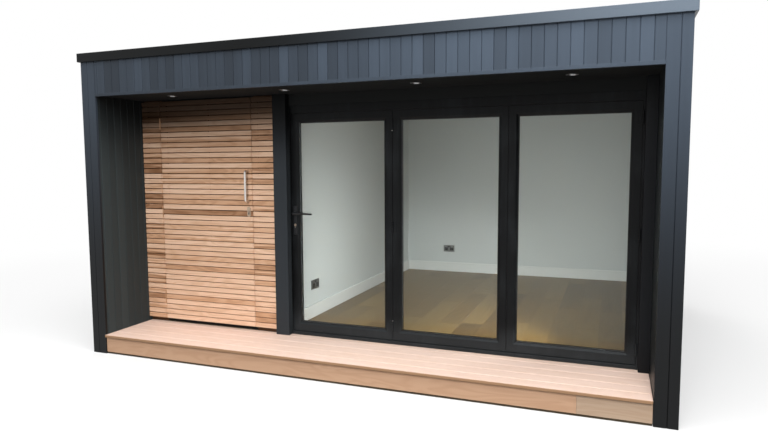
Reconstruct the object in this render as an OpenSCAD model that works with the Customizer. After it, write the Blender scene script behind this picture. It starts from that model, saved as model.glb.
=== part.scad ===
// Garden office pod: a flat-roofed timber room with a recessed front.
// The recess holds a three-leaf folding glazed door and a slatted wall that hides a store door.
// Millimetres, +Z up. The origin is on the ground at the centre of the plan, and the front faces -Y.

/* [Overall] */
// Width over the side cladding
overall_w = 4525; // [3900:5:6000]
// Depth from the front of the wings to the back cladding
overall_d = 3930; // [3200:5:5000]
// Height from the ground to the top of the roof trim
overall_h = 2500; // [2400:5:2800]

/* [Walls] */
// Thickness of the outer cladding boards
clad_t = 20; // [16:1:28]
// Cover width of one cladding board
board_w = 77; // [60:1:150]
// Width of the last board beside an outer corner
edge_board = 63; // [40:1:100]
// Width of the V joint between two cladding boards
joint_w = 6; // [2:0.5:10]
// Depth of the V joint
joint_d = 3; // [1:0.5:6]
// Thickness of the insulated side and back wall panels
wall_t = 100; // [80:5:150]
// Thickness of the wall between the store and the office
partition_t = 100; // [60:5:150]
// Thickness of the recessed front wall's panels
facade_t = 80; // [70:5:120]
// Depth of the porch, from the front of the wings to the recessed front wall
recess_d = 562; // [300:1:900]

/* [Base and floor] */
// Width of a ground bearer
bearer_w = 100; // [75:5:200]
// Height of a ground bearer
bearer_h = 50; // [40:5:100]
// Number of ground bearers, an odd number so that one lies on the centre line
bearer_n = 5; // [3:2:9]
// Depth of the floor joists
joist_h = 114; // [90:1:195]
// Thickness of a joist
joist_t = 45; // [35:1:60]
// Greatest distance between joist centres
joist_pitch = 420; // [300:10:600]
// Thickness of the floor boarding and its finish
floor_t = 30; // [18:1:50]

/* [Porch deck] */
// Thickness of a deck board
deck_t = 22; // [18:1:32]
// Width of a deck board
deck_w = 120; // [90:1:150]
// Gap between deck boards
deck_gap = 5; // [3:0.5:8]
// How far the front deck board's nose stands before the deck fascia
deck_nose = 20; // [0:1:40]
// Thickness of the deck fascia board
deck_fascia_t = 20; // [15:1:30]
// Set-back of the deck fascia from the front of the wings
deck_set = 5; // [0:1:60]
// Distance of the deck fascia's butt joint from its right end
deck_joint = 440; // [200:10:2000]
// Width of the deck fascia's butt joint
deck_joint_w = 2; // [1:0.5:6]
// Height of the open gap under the deck fascia
deck_air = 16; // [5:1:40]
// Clearance between the deck and what stands beside it
deck_side = 3; // [1:0.5:10]

/* [Roof and fascia] */
// Height of the front fascia, from the top of the roof trim down to its lower edge
fascia_h = 351; // [300:1:500]
// Height of the flat strip along the fascia's lower edge
strip_h = 23; // [15:1:40]
// How far the strip stands before the cladding
strip_proud = 4; // [0:0.5:12]
// Height of the roof trim's face
trim_h = 70; // [50:1:120]
// How far the roof trim's face stands before the cladding
trim_proud = 20; // [10:1:40]
// Thickness of the roof trim's top leg
trim_t = 20; // [3:1:30]
// Width of the kerb that the roof trim caps
kerb_w = 45; // [35:1:60]
// Thickness of the roof panel at the front
roof_t = 240; // [180:5:300]
// Fall of the roof from front to back
roof_fall = 40; // [20:1:60]
// Thickness of the roof membrane
membrane_t = 3; // [1:0.5:6]
// Thickness of the soffit board
soffit_t = 18; // [9:1:25]
// Height of the soffit above the fascia's lower edge
soffit_up = 10; // [0:1:30]
// Depth of the soffit's battens
soffit_batten = 23; // [20:1:60]

/* [Downlights] */
// Number of downlights in the soffit
light_n = 4; // [1:1:8]
// Diameter of a downlight's bezel
light_d = 84; // [60:1:110]
// Diameter of the hole that the downlight's can sits in
light_hole = 70; // [50:1:90]
// Thickness of the bezel
light_t = 3; // [2:0.5:6]
// Height of the can above the soffit's face
light_can = 34; // [20:1:40]

/* [Slatted wall and store door] */
// Clear width of the slatted bay, from the wing to the corner post
store_w = 1355; // [1200:1:1800]
// Height of a slat
slat_h = 39.4; // [25:0.1:70]
// Gap between slats
slat_gap = 6; // [4:0.1:15]
// Thickness of a slat
slat_t = 20; // [15:1:30]
// Thickness of the battens behind the slats
batten_t = 20; // [15:1:30]
// Width of a batten
batten_w = 45; // [30:1:70]
// Height of the lowest slat above the deck
slat_up = 37; // [10:1:80]
// Least gap between the top slat and the soffit
slat_top = 9; // [6:1:30]
// Width of the fixed slats left of the store door, to the middle of its seam
door_left = 198; // [120:1:400]
// Width of the store door between the middles of its two seams
door_w = 938; // [700:1:1000]
// Width of the seam at the door's hinges
hinge_seam = 12; // [8:1:20]
// Width of the seam at the door's lock
lock_seam = 7; // [5:1:12]
// Thickness of the store door's blank
blank_t = 40; // [35:1:60]
// Radius of a hinge's barrel
barrel_r = 4; // [3:0.5:5]
// Length of a hinge's barrel
barrel_l = 100; // [70:5:150]
// Thickness of a hinge's leaf
hinge_t = 3; // [2:0.5:4]
// Clearance of the store door at its head and in front of its stops
door_gap = 5.5; // [5:0.5:10]
// Width of the stops that the store door closes before
stop_w = 24; // [15:1:40]

/* [Door pull and lock] */
// Diameter of the pull bar
bar_d = 19; // [12:1:32]
// Height over the pull bar's two bent ends
bar_l = 275; // [200:5:600]
// Distance from the slats to the middle of the pull bar
bar_reach = 50; // [35:1:80]
// Radius of the bar's bends, to the middle of the bar
bar_bend = 22; // [20:1:30]
// Slat, counted from the lowest as 0, on whose middle the upper foot stands
foot_slat = 29; // [12:1:34]
// Distance of the pull bar from the lock side of the door
bar_in = 33; // [25:1:120]
// Width of the lock plate, which has round ends
plate_w = 34; // [25:1:60]
// Height of the lock plate
plate_h = 86; // [70:1:200]
// Thickness of the lock plate
plate_t = 4; // [2:0.5:8]
// Height of the lock plate's middle above the deck
plate_up = 1028; // [800:1:1200]
// Diameter of the lock's cylinder
cylinder_d = 17; // [12:1:22]
// How far a lock cylinder stands out of its plate
cylinder_out = 5; // [2:1:12]

/* [Post and return] */
// Width of the corner post's face
post_w = 122; // [80:1:160]
// Depth of the facing that stands before the recessed front wall
facing_d = 62; // [30:1:100]
// Width of the return board beside the right wing
return_w = 73.5; // [40:0.5:160]
// How far the post laps over the glazed door's frame
post_lap = 46; // [20:1:60]
// How far the return board laps over the glazed door's frame
return_lap = 38; // [20:1:60]

/* [Folding door] */
// Distance from the soffit down to the top of the folding door's frame
frame_drop = 89; // [20:1:300]
// Depth of the outer frame
frame_d = 70; // [60:1:90]
// Width of the frame's jambs
jamb_w = 50; // [40:1:70]
// Height of the frame's head
head_h = 64; // [45:1:90]
// Height of the threshold
sill_h = 26; // [15:1:50]
// Number of leaves
leaf_n = 3; // [2:1:5]
// Gap round a leaf
leaf_gap = 4; // [2:0.5:6]
// Set-back of the leaves from the front of the frame
leaf_set = 10; // [0:1:20]
// Depth of a leaf
leaf_d = 60; // [50:1:75]
// Width of a leaf's stile
stile_w = 66; // [50:1:100]
// Height of a leaf's top rail
top_rail = 71; // [50:1:100]
// Height of a leaf's bottom rail
bottom_rail = 76; // [50:1:140]
// Width of the sloped glazing bead
bead_w = 16; // [10:1:25]
// Depth of the bead's slope
bead_d = 12; // [5:1:18]
// Thickness of the glass unit
glass_t = 28; // [20:1:36]
// How deep the glass sits in the leaf
rebate = 12; // [8:1:15]
// Clearance round the edge of the glass
glass_gap = 2; // [1:0.5:4]
// Diameter of a folding hinge's barrel
fold_d = 16; // [12:1:22]
// Length of a folding hinge
fold_l = 90; // [60:1:120]
// Width over a folding hinge's two leaves
fold_w = 60; // [40:1:80]
// Thickness of a folding hinge's leaf
fold_t = 4; // [2:0.5:6]
// Distance of the outer folding hinges from the top and bottom of a leaf
fold_in = 110; // [80:5:250]

/* [Lever] */
// Height of the lever's axis above the deck
lever_up = 1023; // [900:1:1100]
// Distance from the lever's axis to the lock cylinder
lever_cyl = 98; // [72:1:110]
// Width of the lever's backplate
back_w = 34; // [26:1:50]
// Height of the lever's backplate
back_h = 240; // [180:5:260]
// Thickness of the lever's backplate
back_t = 10; // [6:1:14]
// Distance from the backplate's top to the lever's axis
back_top = 60; // [40:1:120]
// Length of the lever, from its axis to its tip
lever_l = 180; // [100:1:200]
// Diameter of the lever's neck
lever_d = 24; // [16:1:28]
// Diameter of the lever's grip at its tip
tip_d = 13; // [10:1:20]
// Reach of the lever, from the backplate to the middle of the grip
lever_reach = 42; // [35:1:70]

/* [Room] */
// Height of the skirting
skirt_h = 120; // [70:5:200]
// Thickness of the skirting
skirt_t = 15; // [10:1:25]
// Width of a double socket
socket_w = 146; // [80:1:150]
// Height of a double socket
socket_h = 86; // [80:1:90]
// Thickness of a socket's face
socket_t = 9; // [6:1:15]
// Height of the sockets' middle above the floor
socket_up = 300; // [250:5:500]
// Distance of the left socket's middle behind the recessed front wall
socket_y = 506; // [300:1:1500]
// Distance of the back socket's middle from the wall between store and office
socket_x = 559; // [300:1:1500]

/* [Rainwater] */
// How far the membrane reaches past the gutter's back wall
drip = 15; // [5:1:30]
// Width of the gutter
gutter_w = 100; // [75:1:125]
// Depth of the gutter
gutter_h = 70; // [50:1:100]
// Wall of the gutter and the downpipe
gutter_t = 3; // [2:0.5:5]
// Side of the square downpipe
pipe_w = 65; // [50:1:80]
// Distance of the downpipe from the left end of the gutter
pipe_in = 160; // [100:5:600]
// Height of the downpipe's open end above the ground
pipe_end = 120; // [50:5:300]

/* [Hidden] */
eps = 1;
running = 0.3;
wing_w = wall_t + 2 * clad_t;
inner_l = clad_t + wall_t;
inner_r = overall_w - inner_l;
back_y = overall_d - clad_t;
room_back = back_y - wall_t;
facade_y = recess_d;
facade_back = facade_y + facade_t;

bearer_y = deck_set + deck_fascia_t;
deck_z = bearer_h + joist_h;
floor_z = deck_z + floor_t;
fascia_z = overall_h - fascia_h;
soffit_z = fascia_z + soffit_up;
roof_z = soffit_z + soffit_t + soffit_batten;
roof_front = roof_z + roof_t;
roof_back = roof_front - roof_fall;
kerb_z = overall_h - trim_t;
trim_z = overall_h - trim_h;

batten_y = facade_y - batten_t;
slat_y = batten_y - slat_t;
slat_z = deck_z + slat_up;
slat_pitch = slat_h + slat_gap;
slat_n = floor((soffit_z - slat_top - slat_z + slat_gap) / slat_pitch);
slats_h = slat_n * slat_pitch - slat_gap;
post_x = wing_w + store_w;
hinge_x = wing_w + door_left;
lock_x = hinge_x + door_w;
door_x0 = hinge_x + hinge_seam / 2;
door_x1 = lock_x - lock_seam / 2;
fixed_l = hinge_x - hinge_seam / 2;
fixed_r = lock_x + lock_seam / 2;
door_z1 = slat_z + slats_h;
stop_y = facade_y + blank_t + door_gap;

frame_x0 = post_x + post_w - post_lap;
return_x = overall_w - wing_w - return_w;
frame_x1 = return_x + return_lap;
frame_z1 = soffit_z - frame_drop;
leaves_x0 = frame_x0 + jamb_w;
leaves_x1 = frame_x1 - jamb_w;
leaf_w = (leaves_x1 - leaves_x0 - (leaf_n + 1) * leaf_gap) / leaf_n;
leaf_z0 = deck_z + sill_h + leaf_gap;
leaf_z1 = frame_z1 - head_h - leaf_gap;
leaf_y = facade_y + leaf_set;
glass_y = leaf_y + (leaf_d - glass_t) / 2;
partition_x = frame_x0 - partition_t;

cladding_c = [0.28, 0.31, 0.35];
trim_c = [0.16, 0.17, 0.18];
cedar_c = [0.76, 0.58, 0.44];
deck_c = [0.85, 0.72, 0.58];
plaster_c = [0.86, 0.87, 0.86];
timber_c = [0.66, 0.60, 0.42];
steel_c = [0.75, 0.76, 0.77];
glass_c = [0.70, 0.80, 0.82, 0.35];

// Places children measured from the left front corner of the plan.
module from_corner() {
  translate([-overall_w / 2, -overall_d / 2, 0])
    children();
}

// A block between two opposite corners.
module block(a, b) {
  translate(a)
    cube(b - a);
}

// Where the first joint lies when the run's last board is edge_board wide.
function first_joint(length) = (length - edge_board) - board_w * floor((length - edge_board - joint_w) / board_w);

// Places of the joints along a run of boards.
function joints(length) = [for (s = [first_joint(length) : board_w : length - edge_board + joint_d]) s];

// Outline of boards seen end on: a back edge, and a face with a V at every joint.
function boards_outline(length) = concat(
  [[length, clad_t], [0, clad_t], [0, 0]],
  [for (s = joints(length)) each [[s - joint_w / 2, 0], [s, joint_d], [s + joint_w / 2, 0]]],
  [[length, 0]]
);

// A run of upright boards along X that faces -Y.
module boards(length, height) {
  linear_extrude(height)
    polygon(boards_outline(length));
}

module ground_bearers() {
  run = overall_w - 2 * clad_t - bearer_w;
  color(timber_c) from_corner()
    for (i = [0 : bearer_n - 1])
      translate([clad_t + i * run / (bearer_n - 1), bearer_y, 0])
        cube([bearer_w, back_y - bearer_y, bearer_h]);
}

// A frame of joists between two rims: rims run along X, joists along Y.
module joist_frame(a, b) {
  span = b.x - a.x - joist_t;
  bays = ceil(span / joist_pitch);
  block(a, [b.x, a.y + joist_t, b.z]);
  block([a.x, b.y - joist_t, a.z], b);
  for (i = [0 : bays])
    translate([a.x + i * span / bays, a.y, a.z])
      cube([joist_t, b.y - a.y, b.z - a.z]);
}

module base_joists() {
  color(timber_c) from_corner() {
    joist_frame([inner_l, facade_y, bearer_h], [inner_r, room_back, deck_z]);
    joist_frame(
      [wing_w + deck_side, bearer_y, bearer_h],
      [overall_w - wing_w - deck_side, facade_y - deck_side, deck_z - deck_t]
    );
  }
}

// The floors of the office and of the store, which runs out under the store's door.
module floor_boards() {
  color([0.52, 0.42, 0.27]) from_corner() {
    block([partition_x + partition_t, facade_back, deck_z], [inner_r, room_back, floor_z]);
    block([inner_l, facade_back, deck_z], [partition_x, room_back, floor_z]);
    block([fixed_l, facade_y, deck_z], [fixed_r, facade_back, floor_z]);
  }
}

module side_wall() {
  block([clad_t, clad_t, bearer_h], [inner_l, back_y, roof_z]);
}

module left_wall() {
  color(plaster_c) from_corner() side_wall();
}

module right_wall() {
  color(plaster_c) from_corner() translate([overall_w, 0, 0]) mirror([1, 0, 0]) side_wall();
}

module back_wall() {
  color(plaster_c) from_corner()
    block([inner_l, room_back, bearer_h], [inner_r, back_y, roof_z]);
}

module partition_wall() {
  color(plaster_c) from_corner()
    block([partition_x, facade_back, deck_z], [partition_x + partition_t, room_back, roof_z]);
}

// The two battens that carry a run of slats.
module slat_battens(x0, x1) {
  for (x = [x0, x1 - batten_w])
    block([x, batten_y, slat_z], [x + batten_w, facade_y, door_z1]);
}

module store_front_left() {
  color(trim_c) from_corner() {
    block([inner_l, facade_y, deck_z], [fixed_l, facade_back, roof_z]);
    block([fixed_l, stop_y, floor_z], [fixed_l + stop_w, facade_back, door_z1 + door_gap]);
    slat_battens(wing_w, fixed_l);
  }
}

module store_front_right() {
  color(trim_c) from_corner() {
    block([fixed_r, facade_y, deck_z], [post_x, facade_back, roof_z]);
    block([fixed_r - stop_w, stop_y, floor_z], [fixed_r, facade_back, door_z1 + door_gap]);
    slat_battens(fixed_r, post_x);
  }
}

// The panels over the store's door and over the glazed door.
module door_heads() {
  color(trim_c) from_corner() {
    block([fixed_l, facade_y, door_z1 + door_gap], [fixed_r, facade_back, roof_z]);
    block([frame_x0, facade_y, frame_z1], [frame_x1, facade_back, roof_z]);
  }
}

module side_cladding() {
  length = overall_d - 2 * clad_t;
  translate([0, overall_d - clad_t, 0])
    rotate([0, 0, -90])
      boards(length, kerb_z);
}

module left_cladding() {
  color(cladding_c) from_corner() side_cladding();
}

module right_cladding() {
  color(cladding_c) from_corner() translate([overall_w, 0, 0]) mirror([1, 0, 0]) side_cladding();
}

module back_cladding() {
  color(cladding_c) from_corner()
    translate([overall_w, overall_d, 0])
      rotate([0, 0, 180])
        boards(overall_w, roof_back - clad_t);
}

// The boards on one wing: its front face, and its inner side as far as the recessed front wall.
module wing_cladding() {
  translate([wing_w, 0, 0])
    mirror([1, 0, 0])
      boards(wing_w, kerb_z);
  translate([wing_w, clad_t, 0])
    rotate([0, 0, 90])
      boards(facade_y - clad_t, roof_z);
}

module left_wing_cladding() {
  color(cladding_c) from_corner() wing_cladding();
}

module right_wing_cladding() {
  color(cladding_c) from_corner() translate([overall_w, 0, 0]) mirror([1, 0, 0]) wing_cladding();
}

// Side view of the roof panel, with its fall to the back.
function roof_outline() = [[clad_t, roof_z], [back_y, roof_z], [back_y, roof_back], [clad_t, roof_front]];

// A side view of the building, drawn out along X.
module along_x(x0, x1) {
  translate([x0, 0, 0])
    rotate([90, 0, 90])
      linear_extrude(x1 - x0)
        children();
}

module roof_panel() {
  color(plaster_c) from_corner()
    along_x(clad_t, overall_w - clad_t)
      polygon(roof_outline());
}

// The timber kerb on the front and side edges of the roof panel, level on top.
module roof_kerb() {
  right = overall_w - clad_t;
  color(timber_c) from_corner()
    difference() {
      block([clad_t, clad_t, roof_back], [right, back_y, kerb_z]);
      block([clad_t + kerb_w, clad_t + kerb_w, roof_z], [right - kerb_w, back_y + eps, kerb_z + eps]);
      along_x(clad_t - eps, right + eps)
        polygon(roof_outline());
    }
}

// The sheet between the kerbs, which runs out past the back wall and drips into the gutter.
module roof_membrane() {
  y0 = clad_t + kerb_w;
  y1 = overall_d + gutter_t + drip;
  slope = roof_fall / (back_y - clad_t);
  z0 = roof_front - slope * kerb_w;
  z1 = roof_back - slope * (y1 - back_y);
  color([0.20, 0.20, 0.21]) from_corner()
    along_x(clad_t + kerb_w, overall_w - clad_t - kerb_w)
      polygon([[y0, z0], [y1, z1], [y1, z1 + membrane_t], [y0, z0 + membrane_t]]);
}

// The flat cap round the front and sides of the roof, with its face down over the cladding.
module roof_trim() {
  face = trim_proud;
  color(trim_c) from_corner()
    difference() {
      block([-face, -face, trim_z], [overall_w + face, overall_d, overall_h]);
      block([0, 0, trim_z - eps], [overall_w, overall_d + eps, kerb_z]);
      block(
        [clad_t + kerb_w, clad_t + kerb_w, trim_z],
        [overall_w - clad_t - kerb_w, overall_d + eps, overall_h + eps]
      );
    }
}

gutter_top = roof_back - clad_t;
gutter_z = gutter_top - gutter_h;

// A square gutter along the back with the hole over its downpipe.
module rear_gutter() {
  t = gutter_t;
  color(trim_c) from_corner()
    translate([0, overall_d, 0])
      difference() {
        block([0, 0, gutter_z], [overall_w, gutter_w, gutter_top]);
        block([t, t, gutter_z + t], [overall_w - t, gutter_w - t, gutter_top + eps]);
        block([pipe_in + t, t, gutter_z - eps], [pipe_in + pipe_w - t, pipe_w - t, gutter_top]);
      }
}

module downpipe() {
  t = gutter_t;
  color(trim_c) from_corner()
    translate([pipe_in, overall_d, 0])
      difference() {
        block([0, 0, pipe_end], [pipe_w, pipe_w, gutter_z]);
        block([t, t, pipe_end - eps], [pipe_w - t, pipe_w - t, gutter_z + eps]);
      }
}

module front_fascia() {
  color(cladding_c) from_corner()
    translate([wing_w, 0, fascia_z + strip_h])
      boards(overall_w - 2 * wing_w, kerb_z - fascia_z - strip_h);
}

module fascia_strip() {
  color(trim_c) from_corner()
    block([wing_w, -strip_proud, fascia_z], [overall_w - wing_w, clad_t, fascia_z + strip_h]);
}

// Centres of the downlights, in the middle of equal bays.
function light_xs() =
  let (bay = (overall_w - 2 * wing_w) / light_n)
  [for (i = [0 : light_n - 1]) wing_w + (i + 0.5) * bay];

light_y = (clad_t + facade_y) / 2;

module soffit() {
  color(trim_c) from_corner()
    difference() {
      union() {
        block([wing_w, clad_t, soffit_z], [overall_w - wing_w, facade_y, soffit_z + soffit_t]);
        for (y = [clad_t, facade_y - joist_t])
          block([wing_w, y, soffit_z], [overall_w - wing_w, y + joist_t, roof_z]);
      }
      for (x = light_xs())
        translate([x, light_y, soffit_z - eps])
          cylinder(h = soffit_t + 2 * eps, d = light_hole, $fn = 64);
    }
}

module downlights() {
  color(steel_c) from_corner()
    for (x = light_xs())
      translate([x, light_y, soffit_z]) {
        translate([0, 0, -light_t])
          cylinder(h = light_t, d = light_d, $fn = 64);
        cylinder(h = light_can, d = light_hole - 2, $fn = 64);
      }
}

module deck_boards() {
  y0 = deck_set - deck_nose;
  y1 = facade_y - deck_side;
  pitch = deck_w + deck_gap;
  color(deck_c) from_corner()
    for (y = [y0 : pitch : y1 - pitch / 4])
      block(
        [wing_w + deck_side, y, deck_z - deck_t],
        [overall_w - wing_w - deck_side, min(y + deck_w, y1), deck_z]
      );
}

// Two boards that meet end to end near the right wing.
module deck_fascia() {
  right = overall_w - wing_w - deck_side;
  joint_x = right - deck_joint;
  color(deck_c) from_corner() {
    block([wing_w + deck_side, deck_set, deck_air], [joint_x - deck_joint_w, bearer_y, deck_z - deck_t]);
    block([joint_x, deck_set, deck_air], [right, bearer_y, deck_z - deck_t]);
  }
}

// A facing under the soffit, with the stud behind it that runs on up to the roof.
module faced_stud(face_x0, face_x1, stud_x0, stud_x1) {
  block([face_x0, facade_y - facing_d, deck_z], [face_x1, facade_y, soffit_z]);
  block([stud_x0, facade_y, deck_z], [stud_x1, facade_back, roof_z]);
}

module corner_post() {
  color(trim_c) from_corner()
    faced_stud(post_x, post_x + post_w, post_x, frame_x0);
}

module return_board() {
  color(trim_c) from_corner()
    faced_stud(return_x, overall_w - wing_w, frame_x1, inner_r);
}

// A stack of horizontal slats between two places along X.
module slats(x0, x1) {
  for (i = [0 : slat_n - 1])
    block([x0, slat_y, slat_z + i * slat_pitch], [x1, batten_y, slat_z + i * slat_pitch + slat_h]);
}

module left_slats() {
  color(cedar_c) from_corner()
    slats(wing_w, fixed_l);
}

module right_slats() {
  color(cedar_c) from_corner()
    slats(fixed_r, post_x);
}

// Heights of the three hinges on the store door.
function hinge_zs() = [for (f = [0.1, 0.5, 0.9]) slat_z + f * slats_h - barrel_l / 2];

module store_door() {
  color(trim_c) from_corner() {
    block([door_x0, facade_y, slat_z], [door_x1, facade_y + blank_t, door_z1]);
    for (x = [door_x0, (door_x0 + door_x1 - batten_w) / 2, door_x1 - batten_w])
      block([x, batten_y, slat_z], [x + batten_w, facade_y, door_z1]);
    for (z = hinge_zs())
      for (x = [hinge_x, door_x0 - hinge_t])
        block(
          [x, slat_y + barrel_r + running, z],
          [door_x0, x == hinge_x ? slat_y + barrel_r + running + hinge_t : facade_y + blank_t, z + barrel_l]
        );
  }
}

module door_slats() {
  color(cedar_c) from_corner()
    slats(door_x0, door_x1);
}

module store_hinges() {
  color(trim_c) from_corner()
    for (z = hinge_zs()) {
      translate([hinge_x, slat_y, z])
        cylinder(h = barrel_l, r = barrel_r, $fn = 32);
      block([fixed_l, slat_y, z], [fixed_l + hinge_t, facade_y + blank_t, z + barrel_l]);
    }
}

// Middle of a slat, counted from the lowest as 0.
function slat_mid(i) = slat_z + i * slat_pitch + slat_h / 2;

bar_x = door_x1 - bar_in;
bar_span = bar_l - bar_d;

// Half of the pull bar: the straight part from its middle, a bend, and the foot against the slats.
module half_pull() {
  straight = bar_span / 2 - bar_bend;
  translate([0, -bar_reach, 0])
    cylinder(h = straight, d = bar_d, $fn = 64);
  translate([0, bar_bend - bar_reach, straight])
    rotate([90, 0, 90])
      rotate([0, 0, 90])
        rotate_extrude(angle = 90, $fn = 64)
          translate([bar_bend, 0])
            circle(d = bar_d, $fn = 64);
  translate([0, 0, bar_span / 2])
    rotate([90, 0, 0])
      cylinder(h = bar_reach - bar_bend, d = bar_d, $fn = 64);
}

module pull_bar() {
  color(steel_c) from_corner()
    translate([bar_x, slat_y, slat_mid(foot_slat) - bar_span / 2]) {
      half_pull();
      mirror([0, 0, 1]) half_pull();
    }
}

module store_lock() {
  color(steel_c) from_corner()
    translate([bar_x, slat_y, deck_z + plate_up]) {
      block([-plate_w / 2, -plate_t, (plate_w - plate_h) / 2], [plate_w / 2, 0, (plate_h - plate_w) / 2]);
      for (z = [(plate_w - plate_h) / 2, (plate_h - plate_w) / 2])
        translate([0, 0, z])
          rotate([90, 0, 0])
            cylinder(h = plate_t, d = plate_w, $fn = 64);
      translate([0, -plate_t, 0])
        rotate([90, 0, 0])
          cylinder(h = cylinder_out, d = cylinder_d, $fn = 48);
    }
}

module folding_frame() {
  color(trim_c) from_corner()
    difference() {
      block([frame_x0, facade_y, deck_z], [frame_x1, facade_y + frame_d, frame_z1]);
      block([leaves_x0, facade_y - eps, deck_z + sill_h], [leaves_x1, facade_y + frame_d + eps, frame_z1 - head_h]);
    }
}

// Left edge of a leaf.
function leaf_x(i) = leaves_x0 + leaf_gap + i * (leaf_w + leaf_gap);

// The opening of a leaf, which widens towards the front as a sloped glazing bead.
module sight_cut(x0, x1, z0, z1) {
  y0 = leaf_y - eps;
  y1 = leaf_y + bead_d;
  b = bead_w * (bead_d + eps) / bead_d;
  intersection() {
    translate([0, 0, z0 - b])
      linear_extrude(z1 - z0 + 2 * b)
        polygon([[x0 - b, y0], [x1 + b, y0], [x1, y1], [x0, y1]]);
    translate([x0 - b, 0, 0])
      rotate([90, 0, 90])
        linear_extrude(x1 - x0 + 2 * b)
          polygon([[y0, z0 - b], [y1, z0], [y1, z1], [y0, z1 + b]]);
  }
  block([x0, leaf_y - eps, z0], [x1, leaf_y + leaf_d + eps, z1]);
}

module folding_leaf(i) {
  x0 = leaf_x(i);
  x1 = x0 + leaf_w;
  g0 = x0 + stile_w;
  g1 = x1 - stile_w;
  h0 = leaf_z0 + bottom_rail;
  h1 = leaf_z1 - top_rail;
  color(trim_c) from_corner()
    difference() {
      block([x0, leaf_y, leaf_z0], [x1, leaf_y + leaf_d, leaf_z1]);
      sight_cut(g0, g1, h0, h1);
      block([g0 - rebate, glass_y, h0 - rebate], [g1 + rebate, glass_y + glass_t, h1 + rebate]);
    }
}

module folding_leaf_1() {
  folding_leaf(0);
}

module folding_leaf_2() {
  folding_leaf(1);
}

module folding_leaf_3() {
  folding_leaf(2);
}

module folding_glass() {
  r = rebate - glass_gap;
  color(glass_c) from_corner()
    for (i = [0 : leaf_n - 1])
      block(
        [leaf_x(i) + stile_w - r, glass_y, leaf_z0 + bottom_rail - r],
        [leaf_x(i) + leaf_w - stile_w + r, glass_y + glass_t, leaf_z1 - top_rail + r]
      );
}

// A folding hinge: a barrel before the faces it joins, and a flange on each of them. The right
// face may stand a step further forward, and its flange has a width of its own.
module folding_hinge(step = 0, right_w = fold_w / 2) {
  translate([0, -step - fold_d / 2, 0])
    cylinder(h = fold_l, d = fold_d, $fn = 48);
  block([-fold_t, -step - fold_d / 2, 0], [0, 0, fold_l]);
  block([-fold_w / 2, -fold_t, 0], [0, 0, fold_l]);
  block([0, -step - fold_t, 0], [right_w, -step, fold_l]);
}

// Three hinges at each joint: outside at the first and at the jamb, inside between them.
module folding_hinges() {
  mids = [leaf_z0 + fold_in, (leaf_z0 + leaf_z1) / 2, leaf_z1 - fold_in];
  jamb_face = leaf_gap / 2 + jamb_w - return_lap - running;
  color(trim_c) from_corner()
    for (z = mids) {
      translate([leaf_x(1) - leaf_gap / 2, leaf_y, z - fold_l / 2])
        folding_hinge();
      translate([leaf_x(2) - leaf_gap / 2, leaf_y + leaf_d, z - fold_l / 2])
        mirror([0, 1, 0])
          folding_hinge();
      translate([leaves_x1 - leaf_gap / 2, leaf_y, z - fold_l / 2])
        folding_hinge(leaf_set, jamb_face);
    }
}

lever_x = leaves_x0 + leaf_gap + stile_w - bead_w - back_w / 2;
lever_z = deck_z + lever_up;

module lever_plate() {
  color(steel_c) from_corner()
    translate([lever_x, leaf_y, lever_z]) {
      block([-back_w / 2, -back_t, back_top - back_h], [back_w / 2, 0, back_top]);
      translate([0, -back_t, -lever_cyl])
        rotate([90, 0, 0])
          cylinder(h = cylinder_out, d = cylinder_d, $fn = 48);
    }
}

// A neck out of the backplate, a round elbow, and a level grip that tapers to its tip.
module lever_handle() {
  color(steel_c) from_corner()
    translate([lever_x, leaf_y - back_t - running, lever_z]) {
      rotate([90, 0, 0])
        cylinder(h = lever_reach, d = lever_d, $fn = 48);
      translate([0, -lever_reach, 0]) {
        sphere(d = lever_d, $fn = 48);
        rotate([0, 90, 0])
          cylinder(h = lever_l, d1 = lever_d - 2, d2 = tip_d, $fn = 48);
      }
    }
}

module skirting() {
  x0 = partition_x + partition_t;
  z1 = floor_z + skirt_h;
  color(plaster_c) from_corner()
    difference() {
      block([x0, facade_back, floor_z], [inner_r, room_back, z1]);
      block([x0 + skirt_t, facade_back - eps, floor_z - eps], [inner_r - skirt_t, room_back - skirt_t, z1 + eps]);
    }
}

module sockets() {
  x0 = partition_x + partition_t;
  z0 = floor_z + socket_up - socket_h / 2;
  y0 = facade_y + socket_y - socket_w / 2;
  x1 = x0 + socket_x - socket_w / 2;
  color([0.9, 0.9, 0.9]) from_corner() {
    block([x0, y0, z0], [x0 + socket_t, y0 + socket_w, z0 + socket_h]);
    block([x1, room_back - socket_t, z0], [x1 + socket_w, room_back, z0 + socket_h]);
  }
}

ground_bearers();
base_joists();
floor_boards();
left_wall();
right_wall();
back_wall();
partition_wall();
store_front_left();
store_front_right();
door_heads();
left_cladding();
right_cladding();
back_cladding();
left_wing_cladding();
right_wing_cladding();
roof_panel();
roof_kerb();
roof_membrane();
roof_trim();
rear_gutter();
downpipe();
front_fascia();
fascia_strip();
soffit();
downlights();
deck_boards();
deck_fascia();
corner_post();
return_board();
left_slats();
right_slats();
store_door();
door_slats();
store_hinges();
pull_bar();
store_lock();
folding_frame();
folding_leaf_1();
folding_leaf_2();
folding_leaf_3();
folding_glass();
folding_hinges();
lever_plate();
lever_handle();
skirting();
sockets();
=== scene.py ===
"""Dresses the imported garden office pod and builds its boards, slats, glass and fittings."""

import logging
import math
import random
from dataclasses import dataclass, field
from enum import Enum
from typing import Iterable, Sequence, Union

import bmesh
import bpy
from mathutils import Matrix, Vector


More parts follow.
